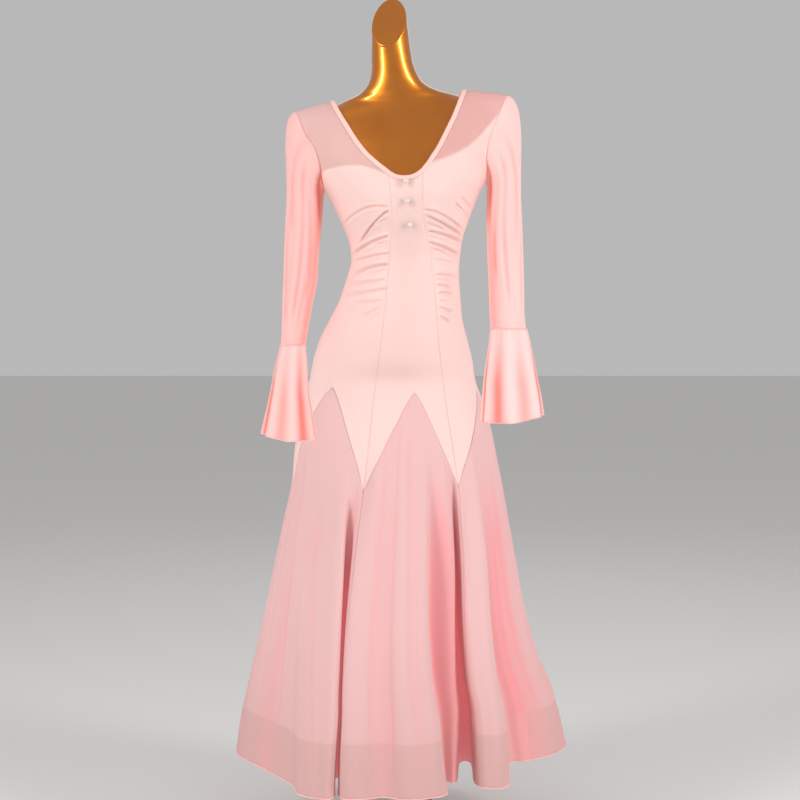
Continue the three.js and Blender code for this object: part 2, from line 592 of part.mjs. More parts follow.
for (const [gore, name] of GODET_NAMES.entries()) {
  const band = HEM + HEM_BAND;
  const shares = goreColumns(gore);
  const grid = [shares.map((share) => cornerSpot(gore + share, HEM))];
  for (const rise of GODET_ROWS)
    grid.push(shares.map((share) => cornerSpot(gore + share, mix(band, archAt(gore, share), rise))));
  add(`godet_${name}`, wall(openSeams(grid, ["left", "right", "top"])), CHIFFON);
}

const FACING = { thick: 1, out: -1.9 }; // its thickness, and how far its middle lies inside the godets'
const facingGrid = [HEM, HEM + HEM_BAND].map((level) => ringPlaces.map((place) => cornerSpot(place, level)));
add("hem_facing", wall(facingGrid, { ring: true, ...FACING }), CHIFFON);

// ---------- neck binding and bust lining ----------
// The neck edge as one loop of spots: down the front from the shoulder at -X, up the other side, round the back.
const NECK_LEVELS = ARMHOLE_ROWS.filter((level) => level >= SEAM_TOP && level < SHOULDER);
const BACK_LEVELS = ARMHOLE_ROWS.filter((level) => level >= BACK_SEAM_TOP && level < SHOULDER);
const FRONT_SHARES = goreColumns(1).slice(1, -1);
const BACK_SHARES = goreColumns(4).slice(1, -1);
const neckLoop = [
  spot(neckLeft(SHOULDER), SHOULDER),
  ...[...NECK_LEVELS].reverse().map((level) => spot(neckLeft(level), level)),
  ...FRONT_SHARES.map((share) => spot(1 + share, neckMiddle(1 + share, "front"))),
  ...NECK_LEVELS.map((level) => spot(neckRight(level), level)),
  spot(neckRight(SHOULDER), SHOULDER),
  ...[...BACK_LEVELS].reverse().map((level) => spot(neckRightBack(level), level)),
  ...BACK_SHARES.map((share) => spot(4 + share, neckMiddle(4 + share, "back"))),
  ...BACK_LEVELS.map((level) => spot(neckLeftBack(level), level)),
];
function neckBinding() {
  const count = neckLoop.length;
  const grid = [BAND_WIDTH, 0.4].map((inward) =>
    neckLoop.map(({ point, normal }, i) => {
      const before = neckLoop[(i + count - 1) % count].point;
      const after = neckLoop[(i + 1) % count].point;
      const along = after.clone().sub(before).normalize();
      const into = along.cross(normal).normalize();
      const clear = 1.2 * ease((point.z - 1350) / 30);
      return {
        point: point.clone().addScaledVector(into, inward).addScaledVector(normal, clear),
        normal: normal.clone(),
      };
    }),
  );
  return wall(grid, { ring: true, thick: 1, out: 1.7 });
}
add("neck_binding", neckBinding(), KNIT);

// The top edge of the lining by place round the figure.
const liningTop = columns([
  { at: 0, height: 1220 },
  { at: 0.15, height: 1228 },
  { at: 0.32, height: 1250 },
  { at: 0.5, height: 1257 },
  { at: 0.8, height: 1256 },
  { at: 0.92, height: 1243 },
  { at: 1, height: 1233 },
  { at: 1.5, height: 1220 },
  { at: 2, height: 1233 },
  { at: 2.1, height: 1253 },
  { at: 2.5, height: 1254 },
  { at: 2.75, height: 1238 },
  { at: 2.88, height: 1225 },
  { at: 3, height: 1220 },
  { at: 3.2, height: 1238 },
  { at: 3.6, height: 1246 },
  { at: 5.4, height: 1246 },
  { at: 5.8, height: 1238 },
  { at: 6, height: 1220 },
]);
const LINING = { thick: 1, out: -4.4 };
const liningGrid = [1199, UNDERARM].map((level) => ringPlaces.map((place) => spot(place, level)));
for (const rise of [0.5, 1])
  liningGrid.push(ringPlaces.map((place) => spot(place, mix(UNDERARM, liningTop.height(place), rise))));
add("bust_lining", wall(liningGrid, { ring: true, ...LINING }), CHIFFON);

// ---------- pearl buttons ----------
const BUTTONS = [
  { x: 11.6, at: 1216, lift: 2.6 },
  { x: 13.5, at: 1179.2, lift: 1 },
  { x: 18.4, at: 1134, lift: 1 },
];
for (const [i, button] of BUTTONS.entries()) {
  const place = placeOf(angleAt(button.x, button.at), button.at);
  const { point, normal } = spot(place, button.at);
  const centre = point.addScaledVector(normal, button.lift + PEARL_RADIUS);
  const pearl = new THREE.SphereGeometry(PEARL_RADIUS, 12, 8).rotateX(Math.PI / 2);
  pearl.translate(centre.x, centre.y, centre.z);
  add(`button_${i + 1}`, pearl, PEARL_FINISH);
}

// ---------- sleeves and flounces ----------
// One row for each level ring of a sleeve, from its cuff seam up, and of a flounce, from its hem up.
const SLEEVES = {
  left: {
    sign: -1,
    rings: [
      { at: 901, outer: -232, inner: -185, y: -72, deep: 28 },
      { at: 950, outer: -231, inner: -177, y: -60, deep: 32 },
      { at: 990, outer: -230, inner: -171, y: -50, deep: 35 },
      { at: 1030, outer: -229, inner: -164, y: -40, deep: 38 },
      { at: 1090, outer: -228, inner: -160.5, y: -27, deep: 41 },
      { at: 1150, outer: -227, inner: -156, y: -14, deep: 44 },
      { at: 1196, outer: -226, inner: -154, y: -5, deep: 47 },
    ],
    flounce: [
      { at: 718, outer: -270, inner: -159, y: -103, deep: 50, flute: 8 },
      { at: 774, outer: -258, inner: -169, y: -95, deep: 43, flute: 5.5 },
      { at: 813, outer: -251, inner: -176, y: -88, deep: 38, flute: 4 },
      { at: 852, outer: -245, inner: -179, y: -81, deep: 34, flute: 2.5 },
      { at: 900.4, outer: -234, inner: -184, y: -72, deep: 28, flute: 0.4 },
    ],
    hemRise: 12,
    flutes: { count: 7, turn: 0.4 },
  },
  right: {
    sign: 1,
    rings: [
      { at: 932, outer: 246, inner: 178, y: -66, deep: 34 },
      { at: 960, outer: 244, inner: 176, y: -58, deep: 36 },
      { at: 1030, outer: 243, inner: 175, y: -40, deep: 39 },
      { at: 1090, outer: 242, inner: 173, y: -27, deep: 41 },
      { at: 1150, outer: 241, inner: 173, y: -14, deep: 44 },
      { at: 1200, outer: 241, inner: 174, y: -5, deep: 47 },
    ],
    flounce: [
      { at: 752, outer: 281, inner: 154, y: -98, deep: 50, flute: 8 },
      { at: 794, outer: 275, inner: 158, y: -92, deep: 46, flute: 6 },
      { at: 833, outer: 268, inner: 162, y: -85, deep: 41, flute: 4 },
      { at: 910, outer: 255, inner: 174, y: -69, deep: 35, flute: 1.2 },
      { at: 931.4, outer: 249, inner: 177, y: -66, deep: 34, flute: 0.4 },
    ],
    hemRise: 14,
    flutes: { count: 7, turn: 1.1 },
  },
};
const FLUTE_DRIFT = { twice: 0.55, thrice: 0.35, depth: 0.35 }; // how uneven the flutes of a flounce are
const SLEEVE_COLUMNS = 18;
const CAP_ROWS = [0.86, 0.7, 0.54, 0.38, 0.24, 0.11, 0];
const FLOUNCE_COLUMNS = 35;

// A point of a level ring. The turn is 0 at its outer side and 0.25 at the front.
function ringPoint(read, level, sign, turn, flutes) {
  const angle = 2 * Math.PI * turn;
  const uneven = FLUTE_DRIFT.twice * Math.sin(2 * angle + 0.7) + FLUTE_DRIFT.thrice * Math.sin(3 * angle + 2.1);
  const half = Math.abs(read.outer(level) - read.inner(level)) / 2;
  const middle = (read.outer(level) + read.inner(level)) / 2;
  const deep = 1 + FLUTE_DRIFT.depth * Math.sin(2 * angle + 1.9);
  const ripple = flutes
    ? read.flute(level) * deep * (Math.cos(flutes.count * angle + flutes.turn + uneven) - 1) * 0.5
    : 0;
  return new THREE.Vector3(
    middle + sign * (half + ripple) * Math.cos(angle),
    read.y(level) - (read.deep(level) + ripple) * Math.sin(angle),
    level,
  );
}

// The normals of a ring-shaped grid, from its own points; a grid runs upward and its columns forward.
function withNormals(points, flip) {
  const cols = points[0].length;
  return points.map((row, j) =>
    row.map((point, i) => {
      const below = points[Math.max(j - 1, 0)][i];
      const above = points[Math.min(j + 1, points.length - 1)][i];
      const across = row[(i + 1) % cols].clone().sub(row[(i + cols - 1) % cols]);
      const normal = across.cross(above.clone().sub(below)).normalize();
      return { point, normal: flip ? normal.negate() : normal };
    }),
  );
}

// The armhole as a loop, with the same turns as a sleeve's rings.
function armholePoint(side, turn) {
  const front = turn <= 0.5;
  const drop = front ? turn * 2 : (1 - turn) * 2;
  const at = mix(SHOULDER, UNDERARM, Math.sin((drop * Math.PI) / 2) ** 1.15 * 0.35 + drop * 0.65);
  const places = { left: [armLeft, armLeftBack], right: [armRight, armRightBack] };
  const inside = side === "left" ? clamp(places.left[front ? 0 : 1](at), front ? 0 : 5, front ? 1 : 6) : places.right[front ? 0 : 1](at);
  return dress(inside, at);
}

function sleeve(side) {
  const { sign, rings } = SLEEVES[side];
  const read = columns(rings);
  const levels = rings.map((row) => row.at);
  const top = levels.at(-1);
  const turns = Array.from({ length: SLEEVE_COLUMNS }, (_, i) => i / SLEEVE_COLUMNS);
  const points = levels.map((level) => turns.map((turn) => ringPoint(read, level, sign, turn)));
  for (const t of CAP_ROWS)
    points.push(
      turns.map((turn) => {
        const under = 0.5 - 0.5 * Math.cos(2 * Math.PI * turn);
        const start = armholePoint(side, turn);
        start.x += sign * mix(0.6, 2.6, under);
        const end = ringPoint(read, top, sign, turn);
        const reach = start.distanceTo(end);
        const leave = new THREE.Vector3(sign * mix(0.55, 0.3, under), 0, mix(-0.12, -0.9, under)).multiplyScalar(reach);
        const arrive = new THREE.Vector3(0, 0, -1.5 * reach);
        const t2 = t * t;
        const t3 = t2 * t;
        return new THREE.Vector3()
          .addScaledVector(start, 2 * t3 - 3 * t2 + 1)
          .addScaledVector(leave, t3 - 2 * t2 + t)
          .addScaledVector(end, 3 * t2 - 2 * t3)
          .addScaledVector(arrive, t3 - t2);
      }),
    );
  return wall(orient(points, sign), { ring: true });
}

// Turns a grid of rings so that its columns run anticlockwise seen from above.
function orient(points, sign) {
  const rows = sign > 0 ? points.map((row) => [row[0], ...row.slice(1).reverse()]) : points;
  return withNormals(rows, false);
}

function flounce(side) {
  const { sign, flounce: rows, hemRise, flutes } = SLEEVES[side];
  const read = columns(rows);
  const turns = Array.from({ length: FLOUNCE_COLUMNS }, (_, i) => i / FLOUNCE_COLUMNS);
  const first = rows[0].at;
  const last = rows.at(-1).at;
  const points = rows.map(({ at }) =>
    turns.map((turn) => {
      const rise = hemRise * Math.max(Math.cos(2 * Math.PI * turn), 0) * (1 - ease((at - first) / (last - first)));
      const point = ringPoint(read, at, sign, turn, flutes);
      point.z += rise;
      return point;
    }),
  );
  return wall(orient(points, sign), { ring: true });
}
for (const side of ["left", "right"]) {
  add(`sleeve_${side}`, sleeve(side), SLEEVE_MESH);
  add(`flounce_${side}`, flounce(side), SLEEVE_MESH);
}

// ---------- the dress form ----------
// One row for each level section of the form's torso and neck, as for the figure.
const TORSO = [
  { at: 490, centre: -8, half: 130, front: 72, back: 92, square: 2.2, lean: 0 },
  { at: 560, centre: -9, half: 139, front: 80, back: 100, square: 2.2, lean: 0 },
  { at: 640, centre: -11, half: 147, front: 86, back: 108, square: 2.2, lean: 0 },
  { at: 720, centre: -13, half: 153, front: 88, back: 112, square: 2.15, lean: 0 },
  { at: 790, centre: -14, half: 157, front: 86, back: 113, square: 2.1, lean: 0 },
  { at: 830, centre: -15, half: 156, front: 84, back: 110, square: 2.1, lean: 0 },
  { at: 870, centre: -14, half: 149, front: 88, back: 103, square: 2.1, lean: 0 },
  { at: 910, centre: -13, half: 138, front: 91, back: 93, square: 2.1, lean: 0 },
  { at: 950, centre: -8, half: 123, front: 88, back: 83, square: 2.1, lean: 0 },
  { at: 990, centre: 0, half: 111, front: 81, back: 75, square: 2.1, lean: 0 },
  { at: 1040, centre: 6.5, half: 101.5, front: 71, back: 66, square: 2.1, lean: 0 },
  { at: 1070, centre: 11, half: 98.5, front: 69, back: 63, square: 2.1, lean: 0 },
  { at: 1110, centre: 12, half: 104, front: 76, back: 68, square: 2.1, lean: 0 },
  { at: 1150, centre: 12, half: 119, front: 85, back: 74, square: 2.15, lean: 0 },
  { at: 1190, centre: 11, half: 135, front: 90, back: 80, square: 2.2, lean: 0 },
  { at: 1218, centre: 10, half: 147, front: 89, back: 82, square: 2.2, lean: 0 },
  { at: 1260, centre: 9, half: 166, front: 83, back: 78, square: 2.2, lean: 1 },
  { at: 1300, centre: 8, half: 181, front: 73, back: 69, square: 2.2, lean: 3 },
  { at: 1335, centre: 6, half: 188, front: 60, back: 58, square: 2.1, lean: 6 },
  { at: 1360, centre: 4, half: 178, front: 50, back: 49, square: 1.9, lean: 8 },
  { at: 1376, centre: 2, half: 160, front: 46, back: 46, square: 1.7, lean: 9 },
  { at: 1388, centre: 0, half: 130, front: 45, back: 46, square: 1.55, lean: 10 },
  { at: 1397, centre: -2, half: 106, front: 45, back: 47, square: 1.6, lean: 10 },
  { at: 1405, centre: -4, half: 84, front: 44, back: 47, square: 1.75, lean: 10 },
  { at: 1414, centre: -7, half: 67, front: 43, back: 47, square: 1.9, lean: 9 },
  { at: 1428, centre: -10, half: 53, front: 41, back: 45, square: 2, lean: 7 },
  { at: 1450, centre: -13, half: 44, front: 38, back: 42, square: 2, lean: 4 },
  { at: 1474, centre: -16.5, half: 40.5, front: 36, back: 39, square: 2, lean: 2 },
];
const NECK_TOP = { centre: -22, half: 34.5, front: 34, back: 34, square: 2, lean: 0 };
const formTilt = columns([
  { at: 1000, tilt: 0 },
  { at: 1070, tilt: 0.03 },
  { at: 1150, tilt: 0.058 },
  { at: 1414, tilt: 0.06 },
  { at: 1474, tilt: 0 },
]);
const FORM_COLUMNS = 26;

function torsoRing(row, height) {
  return Array.from({ length: FORM_COLUMNS }, (_, i) => {
    const angle = (2 * Math.PI * i) / FORM_COLUMNS;
    const sine = Math.sin(angle);
    const cosine = Math.cos(angle);
    const power = 2 / row.square;
    const x = row.centre + row.half * Math.sign(sine) * Math.abs(sine) ** power;
    const deep = cosine > 0 ? -row.front : row.back;
    const y = row.lean + deep * Math.abs(cosine) ** power;
    return new THREE.Vector3(x, y, height(x, y));
  });
}

function formBody() {
  const rings = TORSO.map((row) =>
    torsoRing(row, (x) => row.at + formTilt.tilt(row.at) * x),
  );
  for (const ring of rings)
    for (const point of ring)
      for (const cup of CUPS)
        if (point.y < 0) point.y -= (cup.out - 1) * bell((point.x - cup.x) / 46) * bell((point.z - cup.z) / 42);
  const base = TORSO.at(-1).at;
  for (const rise of [0.5, 1])
    rings.push(torsoRing(NECK_TOP, (x, y) => mix(base, NECK_CUT.height + NECK_CUT.across * x + NECK_CUT.back * y, rise)));
  const positions = [];
  const faces = [];
  for (const ring of rings) for (const point of ring) positions.push(point.x, point.y, point.z);
  const count = FORM_COLUMNS;
  for (let j = 0; j < rings.length - 1; j++)
    for (let i = 0; i < count; i++) {
      const a = j * count + i;
      const b = j * count + ((i + 1) % count);
      faces.push(a, b, b + count, a, b + count, a + count);
    }
  const top = (rings.length - 1) * count;
  for (let i = 1; i < count - 1; i++) {
    faces.push(0, i + 1, i);
    faces.push(top, top + i, top + i + 1);
  }
  return solid(positions, faces);
}
add("form_body", formBody(), GOLD);

// ---------- the stand ----------
// A turned part about the base's axis, from its outline of [radius, height] pairs.
function turned(name, outline, segments) {
  const points = outline.map(([radius, height]) => new THREE.Vector2(radius, height));
  add(name, new THREE.LatheGeometry(points, segments).rotateX(Math.PI / 2), BRONZE, stand);
}
const disc = (radius, low, high, bevel) => [
  [0, low],
  [radius, low],
  [radius, high - bevel],
  ...(bevel ? [[radius - bevel, high]] : []),
  [0, high],
];
const collarFoot = BASE.thick + STAND_GAP;
const poleFoot = collarFoot + COLLAR.tall + STAND_GAP;
const flangeTop = FIGURE_PLACE.z + FORM_BOTTOM - STAND_GAP;
const poleTop = flangeTop - FLANGE.tall - STAND_GAP;
turned("stand_base", disc(BASE.radius, 0, BASE.thick, BASE.bevel), 48);
turned("stand_collar", disc(COLLAR.radius, collarFoot, collarFoot + COLLAR.tall, COLLAR.bevel), 24);
turned("stand_pole", disc(POLE_RADIUS, poleFoot, poleTop, 0), 20);
turned("stand_flange", disc(FLANGE.radius, flangeTop - FLANGE.tall, flangeTop, 0), 24);

export default model;
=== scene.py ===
"""A swing dance dress on a limbless form: cloth laid out from sewing tables, a gold form and a pole stand.

Tables are in millimetres, in the figure's own frame; metres() carries them to their place above the base.
"""
import math

import bmesh
import bpy
import numpy as np
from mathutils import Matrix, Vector


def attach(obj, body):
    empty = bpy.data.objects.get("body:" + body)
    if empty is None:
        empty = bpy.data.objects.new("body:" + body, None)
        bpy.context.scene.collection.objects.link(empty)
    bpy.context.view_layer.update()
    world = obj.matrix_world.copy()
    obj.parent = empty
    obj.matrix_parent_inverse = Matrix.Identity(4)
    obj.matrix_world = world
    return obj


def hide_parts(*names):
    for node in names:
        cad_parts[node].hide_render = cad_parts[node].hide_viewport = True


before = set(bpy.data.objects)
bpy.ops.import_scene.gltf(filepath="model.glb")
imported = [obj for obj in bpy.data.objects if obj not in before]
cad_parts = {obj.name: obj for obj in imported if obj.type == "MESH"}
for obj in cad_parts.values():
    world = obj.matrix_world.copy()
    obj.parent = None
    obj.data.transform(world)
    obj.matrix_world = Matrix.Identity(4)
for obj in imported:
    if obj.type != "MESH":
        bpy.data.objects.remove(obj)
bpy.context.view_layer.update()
scene = bpy.context.scene

# ---- sizes
FIGURE_PLACE = np.array([-50.6, 0.0, 80.0])
THICK = {"knit": 1.1, "chiffon": 0.9, "lining": 0.9, "mesh": 0.8, "facing": 0.8, "binding": 0.5}
FACING_BEHIND = 1.9  # how far the hem's facing lies inside the skirt
LINING_BEHIND = 3.0
LINING_FOOT = 1199.0
HEM = 100.0
UNDERARM = 1218.0
SHOULDER = 1400.0
SEAM_TOP = 1240.0
BACK_SEAM_TOP = 1346.0
ARCH_ZONE = 832.0  # above this the rows of the bodice are level
BAND_TOP = 194.0  # of the stiffened hem band
PEARL_RADIUS = 5.6
FORM_BOTTOM = 490.0
NECK_FOOT = 1474.0
RIM_ROUND = 0.0022  # metres; the rounding of the form's rims
NECK_CUT = {"height": 1553.0, "across": 0.3, "back": 1.56}  # where it crosses the axis, and its two slopes


def mix(a, b, t):
    return a + (b - a) * t


def bell(x):
    return np.exp(-np.square(x))


def ease(t):
    c = np.clip(t, 0.0, 1.0)
    return c * c * (3 - 2 * c)


def metres(points):
    return (points + FIGURE_PLACE) * 0.001


def curve(t, start, leave, end, arrive):
    """A smooth curve from start to end, with its slopes at both; t runs from 0 to 1."""
    t2, t3 = t * t, t * t * t
    first = (2 * t3 - 3 * t2 + 1) * start + (t3 - 2 * t2 + t) * leave
    return first + (3 * t2 - 2 * t3) * end + (t3 - t2) * arrive


class Table:
    """Rows with named columns; reading one follows a smooth curve through its rows."""

    def __init__(self, names, rows):
        rows = np.array(rows, dtype=float)
        self.at = rows[:, 0]
        for column, name in enumerate(names.split()[1:], 1):
            setattr(self, name, self.reader(rows[:, column]))

    def reader(self, value):
        at = self.at
        last = len(at) - 1
        low = np.maximum(np.arange(len(at)) - 1, 0)
        high = np.minimum(np.arange(len(at)) + 1, last)
        slope = (value[high] - value[low]) / (at[high] - at[low])

        def read(x):
            x = np.clip(x, at[0], at[-1])
            i = np.clip(np.searchsorted(at, x, side="right") - 1, 0, last - 1)
            gap = at[i + 1] - at[i]
            return curve((x - at[i]) / gap, value[i], gap * slope[i], value[i + 1], gap * slope[i + 1])

        return read


# ---- the dressed figure
SECTION = Table("at centre half front back square lean", [
    (100, -2, 331, 341, 331, 2.0, 0), (150, -4, 322, 325, 315, 2.0, 0), (190, -5, 313, 310, 301, 2.0, 0),
    (230, -6, 302, 295, 287, 2.0, 0), (270, -10, 288, 280, 272, 2.0, 0), (310, -12, 276, 265, 258, 2.0, 0),
    (390, -13, 257, 236, 232, 2.0, 0), (470, -11, 241, 208, 206, 2.0, 0), (550, -9, 225, 180, 181, 2.0, 0),
    (630, -7, 209, 152, 157, 2.0, 0), (690, -10, 200, 132, 142, 2.05, 0), (730, -11, 193, 119, 134, 2.1, 0),
    (790, -13, 177, 99, 123, 2.1, 0), (830, -15, 165, 93, 119, 2.1, 0), (870, -14, 158, 97, 112, 2.1, 0),
    (910, -13, 147, 100, 102, 2.1, 0), (950, -8, 132, 97, 92, 2.1, 0), (990, 0, 120, 90, 84, 2.1, 0),
    (1040, 6.5, 110.5, 80, 75, 2.1, 0), (1070, 11, 107.5, 78, 72, 2.1, 0), (1110, 12, 113, 85, 77, 2.1, 0),
    (1150, 12, 128, 94, 83, 2.15, 0), (1190, 11, 145, 99, 89, 2.2, 0), (1218, 10.5, 160.5, 99, 92, 2.3, 0),
    (1260, 9, 186, 93, 88, 2.4, 1), (1300, 8, 206, 82, 78, 2.4, 3), (1343, 6, 226, 66, 64, 2.4, 6),
    (1374, 4, 236, 50, 48, 2.4, 8), (1390, 3, 239, 35, 34, 2.4, 9), (1397, 3, 240, 21, 21, 2.4, 9),
    (1400, 3, 240, 0, 0, 2.4, 9),
])
SHOULDER_LINE = Table(
    "at height",
    [(-240, 1366), (-208, 1381), (-134, 1396), (0, 1402), (126, 1402), (214, 1388), (240, 1376)],
)
POSE = Table("at tilt", [(1000, 0), (1070, 0.03), (1150, 0.058), (1218, 0.06), (1400, 0.06)])
CUPS = [(-58, 1184), (84, 1196)]  # x and height of each
DRESSED_CUP = {"out": 15, "wide": 50, "tall": 46}
BARE_CUP = {"out": 14, "wide": 46, "tall": 42}


def oval(section, sine, cosine, at):
    """A section's outline at a height, in the direction of an angle's sine and cosine."""
    power = 2 / section.square(at)
    x = section.centre(at) + section.half(at) * np.sign(sine) * np.abs(sine) ** power
    deep = np.where(cosine > 0, -section.front(at), section.back(at))
    return x, section.lean(at) + deep * np.abs(cosine) ** power


def cup_swell(x, z, out, wide, tall):
    """How far the cups of the bust stand out."""
    return sum(out * bell((x - cup_x) / wide) * bell((z - cup_z) / tall) for cup_x, cup_z in CUPS)


def figure(angle, at):
    """The dressed figure's surface at an angle round it (0 is the front) and a height."""
    sine, cosine = np.sin(angle), np.cos(angle)
    x, y = oval(SECTION, sine, cosine, at)
    share = (at - UNDERARM) / (SHOULDER - UNDERARM)
    z = np.where(at > UNDERARM, mix(UNDERARM, SHOULDER_LINE.height(x), share), at)
    z = z + POSE.tilt(at) * x
    y = y - cup_swell(x, z, **DRESSED_CUP) * ease(cosine * 2)
    return np.stack([x, y, z], axis=-1)


def angle_at(x, at, back=False):
    share = np.clip((x - SECTION.centre(at)) / SECTION.half(at), -1, 1)
    angle = np.arcsin(np.sign(share) * np.abs(share) ** (SECTION.square(at) / 2))
    return np.pi - angle if back else angle


# ---- seams
SEAM = Table("at side_left front_left front_right side_right back_right back_left", [
    (625, -80, -69, 113, 95, 153, 217), (700, -81, -61, 102, 95, 154, 216),
    (806, -83, -50, 87, 94, 155, 215), (900, -85, -38, 76, 93, 156, 213), (969, -87, -30, 71, 92, 157, 210),
    (1022, -88, -25, 66, 91, 158, 207), (1073, -89, -21, 59, 90, 159, 204),
    (1107, -90, -18, 52, 90, 160, 202), (1160, -90, -16, 43, 90, 161, 200),
    (1240, -90, -22, 43, 90, 162, 198),
])


def seam_angles(at):
    level = np.clip(at, SEAM.at[0], SEAM_TOP)
    first = np.radians(SEAM.side_left(level))
    return np.stack(
        [
            first,
            angle_at(SEAM.front_left(level), level),
            angle_at(SEAM.front_right(level), level),
            np.radians(SEAM.side_right(level)),
            np.radians(SEAM.back_right(level)),
            np.radians(SEAM.back_left(level)),
            first + 2 * np.pi,
        ]
    )


def gore_edges(angles, gore):
    """The angles of the two seams of a gore."""
    return (np.take_along_axis(angles, gore[None] + step, 0)[0] for step in (0, 1))


def angle_of(place, at):
    """A place round the dress runs from 0 to 6: seam k is at k, and a gore between k and k + 1."""
    place, at = np.broadcast_arrays(np.asarray(place, float), np.asarray(at, float))
    turn = np.floor(place / 6)
    within = place - 6 * turn
    gore = np.clip(np.floor(within).astype(int), 0, 5)
    low, high = gore_edges(seam_angles(at), gore)
    return mix(low, high, within - gore) + 2 * np.pi * turn


def place_of(angle, at):
    at = np.asarray(at, float)
    angles = seam_angles(at)
    turned = angle + np.where(angle < angles[0] - 1e-9, 2 * np.pi, 0.0)
    gore = sum((angles[k] < turned - 1e-12).astype(int) for k in range(1, 6))
    low, high = gore_edges(angles, gore)
    return gore + (turned - low) / (high - low)


# ---- the skirt's folds
# Each fold of the skirt: its place, x and y at the hem, the height where it starts, how quickly it opens, and
# its sideways bow half way down.
TURNS = [
    (0, -318, -62, 700, 1.25, 0), (0.22, -258, -164, 700, 1.25, 0), (0.44, -198, -262, 560, 1.25, 0),
    (0.53, -182, -318, 520, 1.25, 0), (0.67, -146, -344, 640, 1.25, 0), (0.82, -117, -334, 660, 2.2, 2),
    (0.88, -121, -230, 655, 2.6, -2), (0.93, -107, -226, 655, 2.6, -2), (0.97, -111, -300, 650, 2.2, -3),
    (1.02, -104, -344, 650, 1.6, -4), (1.12, -68, -350, 720, 1.25, -4), (1.24, -30, -337, 740, 1.25, 0),
    (1.4, 10, -353, 760, 1.25, 0), (1.54, 48, -345, 740, 1.25, 0), (1.65, 84, -318, 720, 1.6, -4),
    (1.72, 82, -246, 720, 2.2, -4), (1.84, 104, -240, 700, 1.6, 20), (1.89, 113, -128, 700, 1.6, 18),
    (1.95, 136, -124, 690, 1.6, 4), (2, 137, -250, 690, 1.4, 10), (2.11, 165, -286, 700, 1.25, 2),
    (2.23, 199, -262, 720, 1.4, 13), (2.32, 209, -134, 735, 2, 0), (2.42, 240, -112, 730, 1.6, 0),
    (2.62, 296, -72, 740, 1.25, 0), (2.84, 332, 2, 740, 1.25, 0), (3, 322, 78, 700, 1.25, 0),
    (3.18, 276, 176, 700, 1.25, 0), (3.34, 206, 168, 680, 1.8, 0), (3.5, 202, 262, 680, 1.25, 0),
    (3.72, 138, 312, 700, 1.25, 0), (3.88, 98, 226, 660, 1.8, 0), (4, 78, 318, 640, 1.25, 0),
    (4.24, 30, 340, 720, 1.25, 0), (4.42, -6, 318, 720, 1.25, 0), (4.6, -44, 338, 720, 1.25, 0),
    (4.84, -88, 316, 680, 1.25, 0), (4.94, -100, 226, 660, 1.8, 0), (5.06, -136, 308, 660, 1.25, 0),
    (5.28, -202, 266, 700, 1.25, 0), (5.44, -206, 172, 690, 1.8, 0), (5.62, -276, 184, 700, 1.25, 0),
    (5.84, -322, 62, 700, 1.25, 0),
]
FOLDS_TOP = 760.0
FOLD_ONSET = 0.05  # the first part of a fold, where it grows out of the smooth cloth
SPARE_TURNS = 3  # repeated past both ends, so that the folds close into a ring
TURN_PUSH = 2.0  # how far the folds are moved across at the hem


def turns_around():
    turns = np.array(TURNS, dtype=float)
    around = np.concatenate([turns[-SPARE_TURNS:], turns, turns[:SPARE_TURNS]])
    around[:SPARE_TURNS, 0] -= 6
    around[-SPARE_TURNS:, 0] += 6
    return around.T


TURN_AT, TURN_X, TURN_Y, TURN_START, TURN_QUICK, TURN_BOW = turns_around()


def fold_shift(place, at):
    """How far the folds carry the cloth across and back."""
    i = np.clip(np.searchsorted(TURN_AT, place, side="right") - 1, 1, len(TURN_AT) - 3)
    grown = SECTION.half(at) / SECTION.half(HEM)

    def shift(k):
        smooth = figure(angle_of(TURN_AT[k], at), at)
        down = np.clip((TURN_START[k] - at) / (TURN_START[k] - HEM), 0, 1)
        begun = down * down * (1 + FOLD_ONSET) / (down + FOLD_ONSET)
        share = 1 - (1 - begun) ** TURN_QUICK[k]
        x = SECTION.centre(at) + (TURN_X[k] + TURN_PUSH) * grown
        y = TURN_Y[k] * grown
        bow = TURN_BOW[k] * 4 * begun * (1 - begun)
        return share * (x - smooth[..., 0]) + bow, share * (y - smooth[..., 1])

    rows = [shift(i + step) for step in (-1, 0, 1, 2)]
    places = [TURN_AT[i + step] for step in (-1, 0, 1, 2)]
    gap = places[2] - places[1]
    t = (place - places[1]) / gap
    result = []
    for before, start, end, after in zip(*rows):
        leave = (end - before) / (places[2] - places[0]) * gap
        arrive = (after - start) / (places[3] - places[1]) * gap
        result.append(curve(t, start, leave, end, arrive))
    return result


def dress(place, at):
    """The dress's smooth surface at a place round it and a height."""
    place, at = np.broadcast_arrays(np.asarray(place, float), np.asarray(at, float))
    within = np.mod(place, 6.0)
    point = figure(angle_of(within, at), at)
    below = at < FOLDS_TOP
    if np.any(below):
        across, back = fold_shift(within, np.minimum(at, FOLDS_TOP))
        point[..., 0] += np.where(below, across, 0)
        point[..., 1] += np.where(below, back, 0)
    return point


# ---- outlines
NECK_FRONT = Table("at left right", [
    (1240, -22, 43), (1252, -36, 53), (1264, -49, 61), (1282, -66, 73), (1311, -86, 88), (1346, -106, 105),
    (1374, -121, 116), (1400, -133, 126),
])
NECK_BACK = Table(
    "at left right",
    [(1346, -79, 91), (1356, -93, 99), (1372, -110, 108), (1388, -124, 117), (1400, -133, 124)],
)
ARMHOLE = Table("at left right", [
    (1218, -150, 171), (1230, -152, 171), (1260, -156, 170), (1300, -167, 177), (1343, -189, 192),
    (1400, -208, 214),
])
NECK_LOW = {"front": 1227.0, "back": 1332.0}
